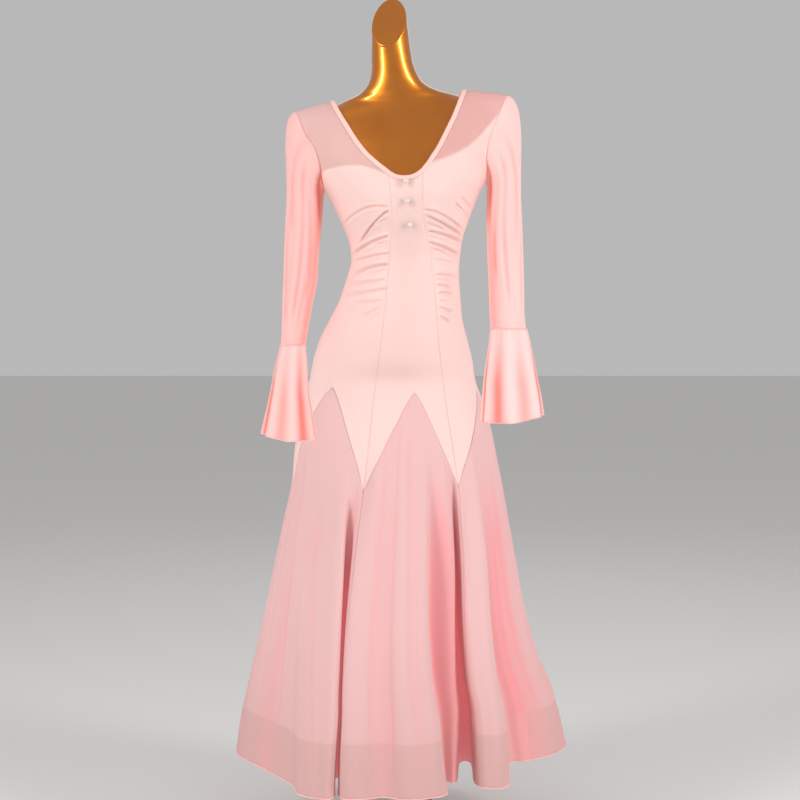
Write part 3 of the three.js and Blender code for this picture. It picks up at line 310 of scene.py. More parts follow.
# Each godet's arch: place of its point in the gore, its height, the heights of its two feet.
ARCHES = [
    (0.55, 818, 622, 622), (0.53, 808, 622, 630), (0.7, 812, 630, 620), (0.48, 814, 620, 622),
    (0.5, 812, 622, 622), (0.5, 814, 622, 622),
]
ARCH_POWER = 1.38


def arch_at(gore, share):
    peak, height, left, right = ARCHES[gore]
    foot = np.where(share < peak, left, right)
    reach = np.where(share < peak, peak, 1 - peak)
    return height - (height - foot) * (np.abs(share - peak) / reach) ** ARCH_POWER


def neck_middle(share, side):
    top = SEAM_TOP if side == "front" else BACK_SEAM_TOP
    return NECK_LOW[side] + (top - NECK_LOW[side]) * (2 * share - 1) ** 2


def edge(table, column, back, start, place, gore):
    """The place of a neck edge or an armhole at each height; below its start it is the seam itself."""

    def read(at):
        at = np.asarray(at, float)
        level = np.maximum(at, start)
        found = place_of(angle_at(getattr(table, column)(level), level, back), level)
        return np.where(at < start, place, np.clip(found, gore, gore + 1))

    return read


ARM_LEFT = edge(ARMHOLE, "left", False, UNDERARM, 0, 0)
NECK_LEFT = edge(NECK_FRONT, "left", False, SEAM_TOP, 1, 0)
NECK_RIGHT = edge(NECK_FRONT, "right", False, SEAM_TOP, 2, 2)
ARM_RIGHT = edge(ARMHOLE, "right", False, UNDERARM, 3, 2)
ARM_RIGHT_BACK = edge(ARMHOLE, "right", True, UNDERARM, 3, 3)
NECK_RIGHT_BACK = edge(NECK_BACK, "right", True, BACK_SEAM_TOP, 4, 3)
NECK_LEFT_BACK = edge(NECK_BACK, "left", True, BACK_SEAM_TOP, 5, 5)
ARM_LEFT_BACK = edge(ARMHOLE, "left", True, UNDERARM, 6, 5)

# ---- gathers
# Each crease: x and z where it leaves the seam, x and z of its far end, rise of its middle, depth and half
# width.
CREASES = [
    (-24, 1166, -108, 1139, 13, 2.4, 3.4), (-24, 1170, -62, 1176, 2, 0.8, 2.6),
    (-24, 1160, -76, 1100, 8, 3.6, 3.8), (-26, 1146, -46, 1136, 1, 1.4, 2.6),
    (-26, 1112, -90, 1079, 4, 3.8, 3.6), (-30, 1100, -62, 1092, 2, 1.3, 2.6),
    (-24, 1079, -88, 1064, 2, 2.4, 3.0), (-26, 1057, -92, 1034, 5, 3.9, 3.6),
    (-28, 1046, -60, 1036, 1, 1.5, 2.6), (-32, 1027, -100, 1019, -1, 2.8, 3.2),
    (-28, 1011, -104, 1000, -3, 2.8, 3.0), (-34, 988, -84, 982, -1, 2.0, 2.8),
    (-34, 976, -72, 957, -1, 1.7, 2.8), (-36, 964, -60, 950, 0, 1.0, 2.6),
    (50, 1162, 120, 1126, 8, 2.6, 3.4), (56, 1150, 117, 1117, 2, 3.4, 3.4),
    (54, 1136, 80, 1128, 1, 1.4, 2.6), (58, 1122, 116, 1103, 3, 3.6, 3.6),
    (60, 1100, 114, 1077, 2, 3.8, 3.6), (62, 1088, 86, 1080, 1, 1.3, 2.6),
    (66, 1068, 100, 1062, 0, 1.5, 2.6), (70, 1038, 108, 1034, 1, 2.8, 3.0),
    (70, 1028, 96, 1024, 0, 1.4, 2.4), (72, 1018, 98, 1012, 0, 2.6, 2.8), (74, 1002, 100, 998, 1, 2.8, 3.0),
    (75, 988, 92, 984, 0, 1.2, 2.4), (76, 974, 100, 964, 0, 2.5, 2.8), (78, 956, 96, 947, 0, 2.0, 2.6),
    (108, 1176, 134, 1150, 2, 1.9, 3.2), (118, 1190, 138, 1172, 1, 1.3, 3.0),
]
PUFF = 4.0  # how far the gathered cloth stands out between its creases
GATHERED = (945, 1178)  # the heights that the gathers run between
GATHERS_FADE = 34
CREASE_DEEP = 1.35  # share of the table's depth
CREASE_WIDE = 0.85  # share of the table's half width
CREASE_LIP = 0.42  # how far the cloth beside a crease stands up, as a share of its depth


def gathers(point, share):
    """How far the gathers lift the cloth of a side front; share runs from the princess seam to the side."""
    x, z = point[..., 0], point[..., 2]
    rise = ease((z - GATHERED[0]) / GATHERS_FADE) * ease((GATHERED[1] - z) / GATHERS_FADE)
    lift = PUFF * rise * ease(share * 7) * ease((1 - share) * 2.2)
    for from_x, from_z, to_x, to_z, bow, deep, wide in CREASES:
        along = (x - from_x) / (to_x - from_x)
        inside = np.clip(along, 0, 1)
        line = mix(from_z, to_z, inside) + bow * 4 * inside * (1 - inside)
        fade = ease((along + 0.12) / 0.24) * ease((1.12 - along) / 0.3)
        away = (z - line) / (CREASE_WIDE * wide * mix(0.8, 1.35, inside))
        lip = CREASE_LIP * bell((np.abs(away) - 2.0) / 1.1)
        lift = lift + CREASE_DEEP * fade * deep * (lip - bell(away))
    return lift


# ---- cloth as meshes
def spans(points, axis):
    """Running length along a grid's rows (axis 1) or columns (axis 0), in millimetres."""
    step = np.linalg.norm(np.diff(points, axis=axis), axis=-1)
    start = np.zeros_like(np.take(step, [0], axis=axis))
    return np.concatenate([start, np.cumsum(step, axis=axis)], axis=axis)


def unit(vectors):
    return vectors / np.maximum(np.linalg.norm(vectors, axis=-1, keepdims=True), 1e-9)


def normals_of(points, ring=False):
    across = np.gradient(points, axis=1)
    if ring:
        across = np.roll(points, -1, 1) - np.roll(points, 1, 1)
        across[:, 0] = points[:, 1] - points[:, -2]
        across[:, -1] = across[:, 0]
    return unit(np.cross(across, np.gradient(points, axis=0)))


def grid_mesh(points, ring=True, uv=None, masks=None):
    """A mesh over a grid of points in millimetres; a ring's first and last columns are joined."""
    rows, cols = points.shape[:2]
    if ring:
        points[:, -1] = points[:, 0]
    place = metres(points)
    mesh = bmesh.new()
    bmesh.ops.create_grid(mesh, x_segments=cols - 1, y_segments=rows - 1, size=0.5)
    cut = None if uv is None else mesh.loops.layers.uv.new("cut")
    layers = {key: mesh.verts.layers.float.new(key) for key in (masks or {})}
    spot = {}
    for vert in mesh.verts:
        spot[vert.index] = (round((vert.co.y + 0.5) * (rows - 1)), round((vert.co.x + 0.5) * (cols - 1)))
    for vert in mesh.verts:
        vert.co = place[spot[vert.index]]
        for key, layer in layers.items():
            vert[layer] = float(masks[key][spot[vert.index]])
    for face in mesh.faces:
        face.smooth = True
        for loop in face.loops if uv is not None else ():
            loop[cut].uv = uv[spot[loop.vert.index]] * 0.001
    if ring:
        bmesh.ops.remove_doubles(mesh, verts=mesh.verts, dist=1e-6)
    return mesh


def cloth(name, points, thick, ring=False, relief=0.0, masks=None, away=0.0):
    """Lays a grid of points out as one piece of cloth, away from them, with its own UV map in metres."""
    along = spans(points, 1)
    along = along - along[:, points.shape[1] // 2][:, None]
    lift = np.full(points.shape[:2], away) + relief
    moved = points + normals_of(points, ring) * lift[..., None]
    uv = np.stack([along, spans(points, 0)], axis=-1)
    piece = keep(name, grid_mesh(moved, ring, uv, masks))
    shell = piece.modifiers.new("cloth_thickness", "SOLIDIFY")
    shell.thickness = THICK[thick] * 0.001
    shell.offset = 0
    shell.use_even_offset = False
    return piece


def keep(name, mesh, ridden=True):
    data = bpy.data.meshes.new(name)
    mesh.to_mesh(data)
    mesh.free()
    piece = bpy.data.objects.new(name, data)
    scene.collection.objects.link(piece)
    if ridden:
        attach(piece, "root")
    return piece


def finish_piece(piece, material, slot, *nodes):
    piece.data.materials.append(material)
    if nodes:
        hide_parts(*nodes)
    return piece


def seam_roll(distance, deep=0.65, wide=1.3):
    """The cloth turns in at a seam, and stands up a little beside it."""
    return 0.4 * bell((distance - 4.6) / 2.4) - deep * bell(distance / wide)


# ---- shader groups
def give(tree, node, values):
    """Sets a node's inputs; each takes a value, or is linked to another node's output."""
    for socket, value in values.items():
        if isinstance(value, bpy.types.NodeSocket):
            tree.links.new(value, node.inputs[socket])
        else:
            node.inputs[socket].default_value = value


def add(tree, kind, values=None, **settings):
    node = tree.nodes.new("ShaderNode" + kind)
    for name, setting in settings.items():
        setattr(node, name, setting)
    give(tree, node, values or {})
    return node


def maths(tree, operation, *terms, clamp=False):
    return add(tree, "Math", dict(enumerate(terms)), operation=operation, use_clamp=clamp).outputs[0]


def mixed(tree, factor, a, b, **settings):
    values = {"Factor": factor, "A": a, "B": b}
    return add(tree, "Mix", values, data_type="RGBA", **settings).outputs["Result"]


def noise_at(tree, where, scale, detail=2.0):
    return add(tree, "TexNoise", {"Scale": scale, "Detail": detail, "Vector": where}).outputs[0]


def object_place(tree):
    return add(tree, "TexCoord").outputs["Object"]


def ramp(tree, value, dark, light, between=(0.0, 1.0)):
    node = add(tree, "ValToRGB", {0: value})
    for end, position, colour in zip(node.color_ramp.elements, between, (dark, light)):
        end.position = position
        end.color = colour
    return node.outputs[0]


def group(name, inputs, outputs):
    tree = bpy.data.node_groups.new(name, "ShaderNodeTree")
    for socket, kind, value in inputs:
        made = tree.interface.new_socket(socket, in_out="INPUT", socket_type="NodeSocket" + kind)
        made.default_value = value
    for socket, kind in outputs:
        tree.interface.new_socket(socket, in_out="OUTPUT", socket_type="NodeSocket" + kind)
    return tree, tree.nodes.new("NodeGroupInput").outputs, tree.nodes.new("NodeGroupOutput")


def weave_group():
    """Crossed threads on the cut's own UV map."""
    tree, given, sink = group(
        "woven_threads", [("Threads", "Float", 900.0), ("Slub", "Float", 0.4)], [("Height", "Float")]
    )
    cut = add(tree, "UVMap", uv_map="cut").outputs[0]
    parts = add(tree, "SeparateXYZ", {0: cut})
    threads = []
    for axis in (0, 1):
        turns = maths(tree, "MULTIPLY", parts.outputs[axis], given["Threads"])
        threads.append(maths(tree, "SINE", maths(tree, "MULTIPLY", turns, 2 * math.pi)))
    woven = maths(tree, "MULTIPLY", *threads)
    slub = maths(tree, "MULTIPLY", noise_at(tree, cut, 140.0, 3.0), given["Slub"])
    give(tree, sink, {"Height": maths(tree, "ADD", maths(tree, "MULTIPLY", woven, 0.35), slub)})
    return tree


def tone_group():
    """Cloth colour: painted shade that deepens it where folds gather, a second colour laid on by the band
    mask (real bands, painted light and painted shade), a painted glow of the deep colour in the folds, and
    slightly uneven dye.
    """
    tree, given, sink = group(
        "dye_and_painted_shade_tone",
        [
            ("Base", "Color", (0.9, 0.6, 0.55, 1)),
            ("Deep", "Color", (0.8, 0.3, 0.3, 1)),
            ("Fold_Shade_And_Glow", "Float", 0.0),
            ("Light", "Color", (1, 0.8, 0.78, 1)),
            ("Band_And_Painted_Light", "Float", 0.0),
            ("Mottle", "Float", 0.05),
        ],
        [("Color", "Color"), ("Painted_Glow", "Color")],
    )
    # painted shade: the deep colour where folds and creases gather
    fold_shade = mixed(tree, given["Fold_Shade_And_Glow"], given["Base"], given["Deep"])
    # painted light and painted shade from the band mask, besides real bands
    band_and_painted_light = mixed(tree, given["Band_And_Painted_Light"], fold_shade, given["Light"])
    uneven = maths(tree, "SUBTRACT", noise_at(tree, object_place(tree), 7.0, 4.0), 0.5)
    shift = maths(tree, "MULTIPLY_ADD", uneven, given["Mottle"], 1.0)
    grey = add(tree, "CombineColor", {channel: shift for channel in range(3)}).outputs[0]
    give(tree, sink, {
        "Color": mixed(tree, 1.0, band_and_painted_light, grey, blend_type="MULTIPLY"),
        # painted glow: the folds give off their deep colour
        "Painted_Glow": mixed(tree, given["Fold_Shade_And_Glow"], (0, 0, 0, 1), given["Deep"]),
    })
    return tree


WEAVE = weave_group()
TONE = tone_group()
MOTTLE = 0.06  # how uneven the dye of all the cloths is


def attribute(tree, name):
    return add(tree, "Attribute", attribute_name=name).outputs["Fac"]


def new_material(name):
    material = bpy.data.materials.new(name)
    material.use_nodes = True
    return material, material.node_tree, material.node_tree.nodes["Principled BSDF"]


def cloth_material(name, base, deep, light, threads, bump, rough, sheen, alpha=1.0, sheer=None, painted_glow=0.0):
    material, tree, shader = new_material(name)
    tone = add(tree, "Group", node_tree=TONE)
    give(tree, tone, {
        "Base": base, "Deep": deep, "Light": light, "Mottle": MOTTLE,
        # masks of painted shade in the folds, and of the band with painted light and painted shade
        "Fold_Shade_And_Glow": attribute(tree, "fold_shade"), "Band_And_Painted_Light": attribute(tree, "band_and_painted_light"),
    })
    weave = add(tree, "Group", node_tree=WEAVE)
    give(tree, weave, {"Threads": threads})
    lift = add(tree, "Bump", {"Strength": bump, "Distance": 0.0004, "Height": weave.outputs["Height"]})
    if sheer is not None:
        see = maths(tree, "MULTIPLY", attribute(tree, "sheer"), sheer)
        alpha = maths(tree, "SUBTRACT", alpha, see, clamp=True)
    give(tree, shader, {
        "Base Color": tone.outputs["Color"], "Normal": lift.outputs[0], "Alpha": alpha,
        # the folds glow with a painted light of their deep colour
        "Emission Color": tone.outputs["Painted_Glow"], "Emission Strength": painted_glow,
        "Roughness": rough, "Specular IOR Level": 0.25,
        "Sheen Weight": sheen, "Sheen Roughness": 0.45, "Sheen Tint": (1.0, 0.86, 0.84, 1.0),
    })
    return material


KNIT = cloth_material(
    "bodice_knit", (0.86, 0.61, 0.57, 1), (0.90, 0.30, 0.27, 1), (0.66, 0.45, 0.40, 1), 800, 0.25, 0.6, 0.1,
    sheer=0.40, painted_glow=0.1,
)
CHIFFON = cloth_material(
    "skirt_chiffon", (0.815, 0.50, 0.49, 1), (0.70, 0.23, 0.25, 1), (0.60, 0.34, 0.315, 1), 700, 0.3, 0.7,
    0.1, alpha=0.94, painted_glow=0.35,
)
FACING = cloth_material(
    "hem_stiffening", (0.85, 0.50, 0.48, 1), (0.75, 0.22, 0.22, 1), (1, 0.75, 0.72, 1), 600, 0.3, 0.75, 0.1,
)
SLEEVE_MESH = cloth_material(
    "sleeve_mesh", (0.86, 0.44, 0.41, 1), (0.92, 0.22, 0.18, 1), (0.88, 0.64, 0.61, 1), 900, 0.25, 0.62, 0.12,
    alpha=0.93,
)
ROLLED_HEM = cloth_material(
    "rolled_hem", (0.90, 0.52, 0.50, 1), (0.8, 0.3, 0.3, 1), (1, 0.7, 0.66, 1), 700, 0.2, 0.6, 0.1,
)
BINDING = cloth_material(
    "neck_satin", (0.97, 0.58, 0.52, 1), (0.9, 0.4, 0.35, 1), (1, 0.85, 0.8, 1), 700, 0.2, 0.45, 0.1,
)
LINING = cloth_material(
    "bust_lining", (0.97, 0.66, 0.61, 1), (0.85, 0.45, 0.4, 1), (1, 0.8, 0.76, 1), 700, 0.2, 0.7, 0.1,
)


def gold_material():
    material, tree, shader = new_material("gold_lacquer")
    where = object_place(tree)
    uneven = maths(tree, "MULTIPLY", noise_at(tree, where, 60.0), 0.1)
    dark, light = (0.72, 0.205, 0.010, 1), (0.80, 0.25, 0.014, 1)
    give(tree, shader, {
        "Base Color": ramp(tree, noise_at(tree, where, 5.0, 5.0), dark, light, (0.35, 0.65)),
        "Roughness": maths(tree, "ADD", uneven, 0.26), "Metallic": 1.0,
        "Coat Weight": 0.9, "Coat IOR": 1.55, "Coat Roughness": 0.05,
    })
    return material


def pearl_material():
    material, tree, shader = new_material("pearl")
    cloudy = noise_at(tree, object_place(tree), 160.0)
    give(tree, shader, {
        "Base Color": ramp(tree, cloudy, (0.66, 0.58, 0.52, 1), (0.76, 0.70, 0.65, 1)),
        "Roughness": 0.18, "Coat Weight": 0.7, "Coat Roughness": 0.06, "Sheen Weight": 0.2,
    })
    return material


def metal_material():
    material, tree, shader = new_material("brushed_stand")
    stretch = add(tree, "Mapping", {"Scale": (220.0, 220.0, 4.0), "Vector": object_place(tree)})
    grain = noise_at(tree, stretch.outputs[0], 1.0, 3.0)
    give(tree, shader, {
        "Base Color": ramp(tree, grain, (0.36, 0.31, 0.25, 1), (0.5, 0.45, 0.38, 1)),
        "Roughness": maths(tree, "MULTIPLY_ADD", grain, 0.2, 0.22), "Metallic": 1.0,
    })
    return material


GOLD = gold_material()
PEARL = pearl_material()
METAL = metal_material()

# ---- bodice
ROWS = {0: 186, 1: 110, 2: 186}  # rows between hip and bust, by gore; the gathered fronts have the most
PLAIN_ROWS = 70  # the same, in the other gores
YOKE_DEEP = {2: 0.3}  # share of the deep colour painted as shade in a gore's yoke, which lies on the form at +X
YOKE_CLEAR = {2: 1.0}  # how clear a gore's yoke is
OTHER_DEEP, OTHER_CLEAR = 0.13, 0.85  # the same, in the other gores


def bodice_grid(gore, columns, left, right, top=None):
    """Places and heights of a bodice piece: its pointed foot first, then up to its neck or shoulder."""
    share = np.linspace(0, 1, columns)
    gathered = np.linspace(941.4, 1184, ROWS.get(gore, PLAIN_ROWS))
    levels = np.concatenate([np.linspace(ARCH_ZONE, 940, 22), gathered, np.linspace(1187, SHOULDER, 66)])
    if top is not None:
        levels = levels[levels <= top[0]]
    foot = np.stack([mix(arch_at(gore, share), ARCH_ZONE, rise) for rise in np.linspace(0, 1, 34)[:-1]])
    body = np.repeat(levels[:, None], columns, 1)
    if top is not None:
        squeeze = (levels - ARCH_ZONE) / (levels[-1] - ARCH_ZONE)
        body = ARCH_ZONE + squeeze[:, None] * (top[1](share)[None] - ARCH_ZONE)
    at = np.concatenate([foot, body])
    place = mix(left(at), right(at), share[None])
    return share, place, at


def edge_distances(points):
    along, up = spans(points, 1), spans(points, 0)
    return {"left": along, "right": along[:, -1:] - along, "bottom": up, "top": up[-1:] - up}


def lining_height(place):
    return LINING_TOP.height(np.mod(place, 6.0))


LINING_TOP = Table("at height", [
    (0, 1220), (0.15, 1228), (0.32, 1250), (0.5, 1257), (0.8, 1256), (0.92, 1243), (1, 1233), (1.5, 1220),
    (2, 1233), (2.1, 1253), (2.5, 1254), (2.75, 1238), (2.88, 1225), (3, 1220), (3.2, 1238), (3.6, 1246),
    (5.4, 1246), (5.8, 1238), (6, 1220),
])


# Above this line the yoke at +X lies on the form; below it the cloth stands off and looks paler, as it is
# drawn opaque and without the yoke's painted shade.
YOKE_LINE = Table("at height", [(60, 1254), (93, 1266), (138, 1293), (188, 1348), (205, 1376)])


CREASE_TONE = 0.75  # share of the deep colour painted as shade at the bottom of a full crease
FULL_CREASE = 3.5  # depth of a full crease
SEAM_TONE = 0.08  # share of the deep colour painted as shade in a seam
# Painted shade on the front: middle across and up, half width, half height, share of the darker colour.
PAINTED_SHADES = [
    (4, 848, 72, 20, 0.42), (-20, 900, 110, 70, 0.2), (14, 1090, 34, 150, 0.28), (-70, 850, 40, 22, 0.10),
    (-120, 800, 40, 60, 0.2), (150, 1290, 40, 40, 0.22),
]


def bodice_piece(name, gore, columns, left, right, top=None, ruched=None):
    share, place, at = bodice_grid(gore, columns, left, right, top)
    points = dress(place, at)
    away = edge_distances(points)
    relief, fold_shade, shade = (np.zeros(place.shape) for _ in range(3))
    if ruched:
        from_seam = 1 - share if ruched == "right" else share
        lift = gathers(points, from_seam[None])
        relief += lift
        # painted shade in the creases of the gathers
        fold_shade += CREASE_TONE * np.clip(-lift / FULL_CREASE, 0, 1)
    for side in ("left", "right"):
        relief += seam_roll(away[side])
        # painted shade along the seams
        fold_shade += SEAM_TONE * bell(away[side] / 1.4)
    relief += seam_roll(away["bottom"], 0.9, 1.5)
    sheer = ease((at - lining_height(place) + 4) / 5.0)
    if gore == 2:
        sheer = np.minimum(sheer, ease((points[..., 2] - YOKE_LINE.height(points[..., 0]) + 5) / 12.0))
    if gore < 3:
        # painted shade on the fronts, laid on through the band mask
        for x, z, wide, tall, share_dark in PAINTED_SHADES:
            shade += share_dark * bell((points[..., 0] - x) / wide) * bell((points[..., 2] - z) / tall)
    # painted shade in the sheer yoke, for the shaded form seen through it
    fold_shade += YOKE_DEEP.get(gore, OTHER_DEEP) * sheer
    masks = {"sheer": sheer * YOKE_CLEAR.get(gore, OTHER_CLEAR), "fold_shade": fold_shade, "band_and_painted_light": shade}
    piece = cloth(name, points, "knit", relief=relief, masks=masks)
    return finish_piece(piece, KNIT, "bodice_knit", name)


def fixed(place):
    return lambda at: np.full(np.shape(at), float(place))


side_front_left = bodice_piece("side_front_left", 0, 84, ARM_LEFT, NECK_LEFT, ruched="right")
centre_front = bodice_piece(
    "centre_front", 1, 60, fixed(1), fixed(2), top=(SEAM_TOP, lambda share: neck_middle(share, "front"))
)
side_front_right = bodice_piece("side_front_right", 2, 84, NECK_RIGHT, ARM_RIGHT, ruched="left")
side_back_right = bodice_piece("side_back_right", 3, 60, ARM_RIGHT_BACK, NECK_RIGHT_BACK)
centre_back = bodice_piece(
    "centre_back", 4, 60, fixed(4), fixed(5), top=(BACK_SEAM_TOP, lambda share: neck_middle(share, "back"))
)
side_back_left = bodice_piece("side_back_left", 5, 60, NECK_LEFT_BACK, ARM_LEFT_BACK)

# ---- godets, facing and hem
GODETS = ["front_left", "front", "front_right", "back_right", "back", "back_left"]
FULL_FOLD = 55.0  # how far the crests beside a full fold stand out
FOLD_TONE = 0.85  # share of the deep colour painted as shade at the bottom of a full fold
# FACING_TONE: share of the deep colour painted as shade in the facing's deepest folds
FACING_TONE = 0.8


def fold_depth(place, at, points):
    """0 on the crests and 1 at the bottom of the deepest folds, by how far the crests beside stand out."""
    centre = SECTION.centre(at)

    def reach(spots):
        return np.hypot(spots[..., 0] - centre, spots[..., 1])

    steps = (0.04, 0.08, 0.14, 0.2)
    left = np.maximum.reduce([reach(dress(place - step, at)) for step in steps])
    right = np.maximum.reduce([reach(dress(place + step, at)) for step in steps])
    return np.clip((np.minimum(left, right) - reach(points)) / FULL_FOLD, 0, 1)


# Soft creases of the hanging skirt, and pressed ones in its hem band: place and height of each end, depth and
# half width.
SOFT_CREASES = [
    (0.10, 640, 0.12, 200, 1.6, 9), (0.28, 660, 0.30, 190, 2.0, 10), (0.60, 560, 0.62, 200, 1.8, 9),
    (1.20, 640, 1.18, 210, 2.2, 10), (1.33, 720, 1.31, 190, 1.6, 8), (1.47, 700, 1.49, 220, 2.0, 10),
    (2.06, 600, 2.06, 200, 1.2, 6), (2.52, 660, 2.55, 230, 2.2, 10), (2.74, 640, 2.76, 200, 1.8, 9),
    (3.10, 620, 3.12, 200, 1.8, 9), (3.60, 620, 3.62, 190, 2.0, 9), (4.14, 640, 4.14, 200, 1.8, 9),
    (4.36, 660, 4.34, 210, 1.5, 8), (4.72, 640, 4.74, 200, 1.9, 9), (5.18, 620, 5.20, 190, 1.7, 8),
    (5.74, 640, 5.74, 210, 2.0, 9),
]
BAND_CREASES = [
    (0.50, 178, 0.56, 128, 1.3, 3.4), (0.68, 170, 0.64, 120, 0.9, 3.0), (1.08, 176, 1.15, 118, 1.4, 3.6),
    (1.22, 168, 1.17, 122, 1.0, 3.0), (1.44, 180, 1.38, 140, 0.8, 2.8), (2.16, 172, 2.13, 126, 0.9, 2.8),
    (2.50, 186, 2.46, 132, 1.5, 3.6), (2.60, 174, 2.64, 128, 1.0, 3.0), (3.44, 176, 3.50, 124, 1.2, 3.2),
    (4.28, 178, 4.22, 126, 1.1, 3.2), (4.90, 170, 4.95, 122, 0.9, 2.8), (5.30, 180, 5.36, 130, 1.2, 3.2),
]
# Painted shade of single folds, less of it where the share is below 0: place, share of the deep colour, half
# width.
PAINTED_FOLD_TINTS = [
    (2.36, -0.2, 0.06), (2.50, 0.55, 0.13), (2.78, 0.10, 0.08), (0.24, 0.08, 0.08), (1.78, 0.55, 0.07),
    (1.3, 0.1, 0.05), (1.53, 0.1, 0.05),
]
BACK_TONE = 0.55  # how much of the deep colour, painted as shade and glow, the folds of the back keep


def crease_relief(place, at, points, creases):
    """Troughs that run slanting down the skirt, each measured along the cloth's own width."""
    scale = spans(points, 1)[:, -1:] / np.maximum(place[:, -1:] - place[:, :1], 1e-6)
    relief = np.zeros(at.shape)
    for from_place, from_at, to_place, to_at, deep, wide in creases:
        down = np.clip((from_at - at) / (from_at - to_at), -0.2, 1.2)
        line = mix(from_place, to_place, np.clip(down, 0, 1))
        fade = ease((down + 0.2) / 0.3) * ease((1.2 - down) / 0.3)
        relief -= deep * fade * bell((place - line) * scale / wide)
    return relief


def godet(name, gore):
    share = np.linspace(0, 1, 96)
    low = np.linspace(HEM, BAND_TOP, 20)[:, None]
    rises = np.linspace(0, 1, 86)[1:, None]
    at = np.concatenate([np.repeat(low, len(share), 1), mix(BAND_TOP, arch_at(gore, share)[None], rises)])
    place = np.broadcast_to(gore + share[None], at.shape)
    points = dress(place, at)
    away = edge_distances(points)
    line = np.abs(at - BAND_TOP)
    soft = crease_relief(place, at, points, SOFT_CREASES)
    pressed = crease_relief(place, at, points, BAND_CREASES)
    relief = seam_roll(away["left"], 0.8, 1.4) + seam_roll(away["right"], 0.8, 1.4)
    relief = relief + seam_roll(away["top"], 0.9, 1.6) + soft + pressed
    relief = relief + 0.35 * bell((line - 2) / 1.6) - 0.5 * bell(line / 1.1)  # the band's stitched line
    # painted shade: deep colour in the folds, along the band's stitched line and in the soft and pressed
    # creases
    fold_shade = FOLD_TONE * fold_depth(place, at, points) + SEAM_TONE * bell(line / 1.4)
    fold_shade = fold_shade - 0.07 * soft - 0.12 * pressed
    # painted shade on single folds
    for where, share_deep, wide in PAINTED_FOLD_TINTS:
        fold_shade = fold_shade + share_deep * bell((place - where) / wide) * ease((700 - at) / 200)
    fold_shade = np.clip(fold_shade, 0, 1) * (BACK_TONE if gore > 2 else 1.0)
    # darker in the hem band, and painted shade that darkens the skirt towards the hem
    band_and_painted_light = 0.3 * ease((BAND_TOP - at) / 3.0) + 0.3 * ease((430 - at) / 300.0)
    piece = cloth(name, points, "chiffon", relief=relief, masks={"fold_shade": fold_shade, "band_and_painted_light": band_and_painted_light})
    return finish_piece(piece, CHIFFON, "skirt_chiffon", name)


godets = [godet("godet_" + side, gore) for gore, side in enumerate(GODETS)]


def around(count, low, high, rows):
    """Places and heights of a band right round the dress."""
    place = np.linspace(0, 6, count)[None]
    at = mix(low, high, np.linspace(0, 1, rows)[:, None]) * np.ones(place.shape)
    return place * np.ones(at.shape), at


def hem_facing():
    place, at = around(481, HEM + 1, BAND_TOP - 1, 16)
    points = dress(place, at)
    # painted shade in the folds of the facing
    masks = {"fold_shade": FACING_TONE * fold_depth(place, at, points)}
    piece = cloth("hem_facing", points, "facing", ring=True, masks=masks, away=-FACING_BEHIND)
    return finish_piece(piece, FACING, "skirt_chiffon", "hem_facing")


facing = hem_facing()


def rolled_edge(name, path, radius, material, slot, sides=8):
    """A thin rolled hem along a closed path of points."""
    count = len(path)
    ahead = unit(np.roll(path, -1, 0) - np.roll(path, 1, 0))
    up = unit(np.array([0.0, 0.0, 1.0]) - ahead * ahead[:, 2:3])
    out = np.cross(ahead, up)
    side = np.arange(sides + 1)[:, None]
    step = np.arange(count + 1) % count
    turn = (-2 * np.pi * side / sides)[..., None]
    swell = radius * (1 + 0.12 * np.sin(step * 0.61) + 0.08 * np.sin(step * 0.23 + 1))[None, :, None]
    points = path[step] + swell * (np.cos(turn) * out[step] + np.sin(turn) * up[step])
    points[-1] = points[0]
    length = spans(path[None, step], 1)
    uv = np.stack(np.broadcast_arrays(length, 0.8 * radius * side), axis=-1)
    mesh = grid_mesh(points, uv=uv)
    bmesh.ops.recalc_face_normals(mesh, faces=mesh.faces)
    return finish_piece(keep(name, mesh), material, slot)


HEM_ROLL = 1.3  # radius of the skirt's rolled hem
hem_path = dress(np.linspace(0, 6, 901)[:-1], np.full(900, HEM + 0.6))
hem_edge = rolled_edge("skirt_hem_edge", hem_path, HEM_ROLL, ROLLED_HEM, "skirt_chiffon")

# ---- neck binding and lining
def neck_loop():
    """The neck edge as one closed loop of places and heights."""
    front = np.linspace(SEAM_TOP, SHOULDER, 80)
    back = np.linspace(BACK_SEAM_TOP, SHOULDER, 40)
    share = np.linspace(0, 1, 42)[1:-1]
    stretches = [
        (NECK_LEFT(front[::-1]), front[::-1]),
        (1 + share, neck_middle(share, "front")),
        (NECK_RIGHT(front), front),
        (NECK_RIGHT_BACK(back[::-1])[1:], back[::-1][1:]),
        (4 + share, neck_middle(share, "back")),
        (NECK_LEFT_BACK(back)[:-1], back[:-1]),
    ]
    return (np.concatenate(column) for column in zip(*stretches))


def surface_normal(place, at):
    top = np.minimum(at + 0.6, SHOULDER)
    across = dress(place + 0.004, at) - dress(place - 0.004, at)
    up = dress(place, top) - dress(place, at - 0.6)
    return unit(np.cross(across, up))


# Distance into the cloth from the neck's edge, and height above it.
BINDING_PROFILE = [
    (7.6, 0.5), (7.8, 1.2), (7, 1.8), (5, 2.1), (2.6, 2.1), (0.5, 1.8), (-0.8, 1.0), (-1.1, 0.0),
    (-0.8, -1.0), (0.7, -1.6), (3.4, -1.8),
]


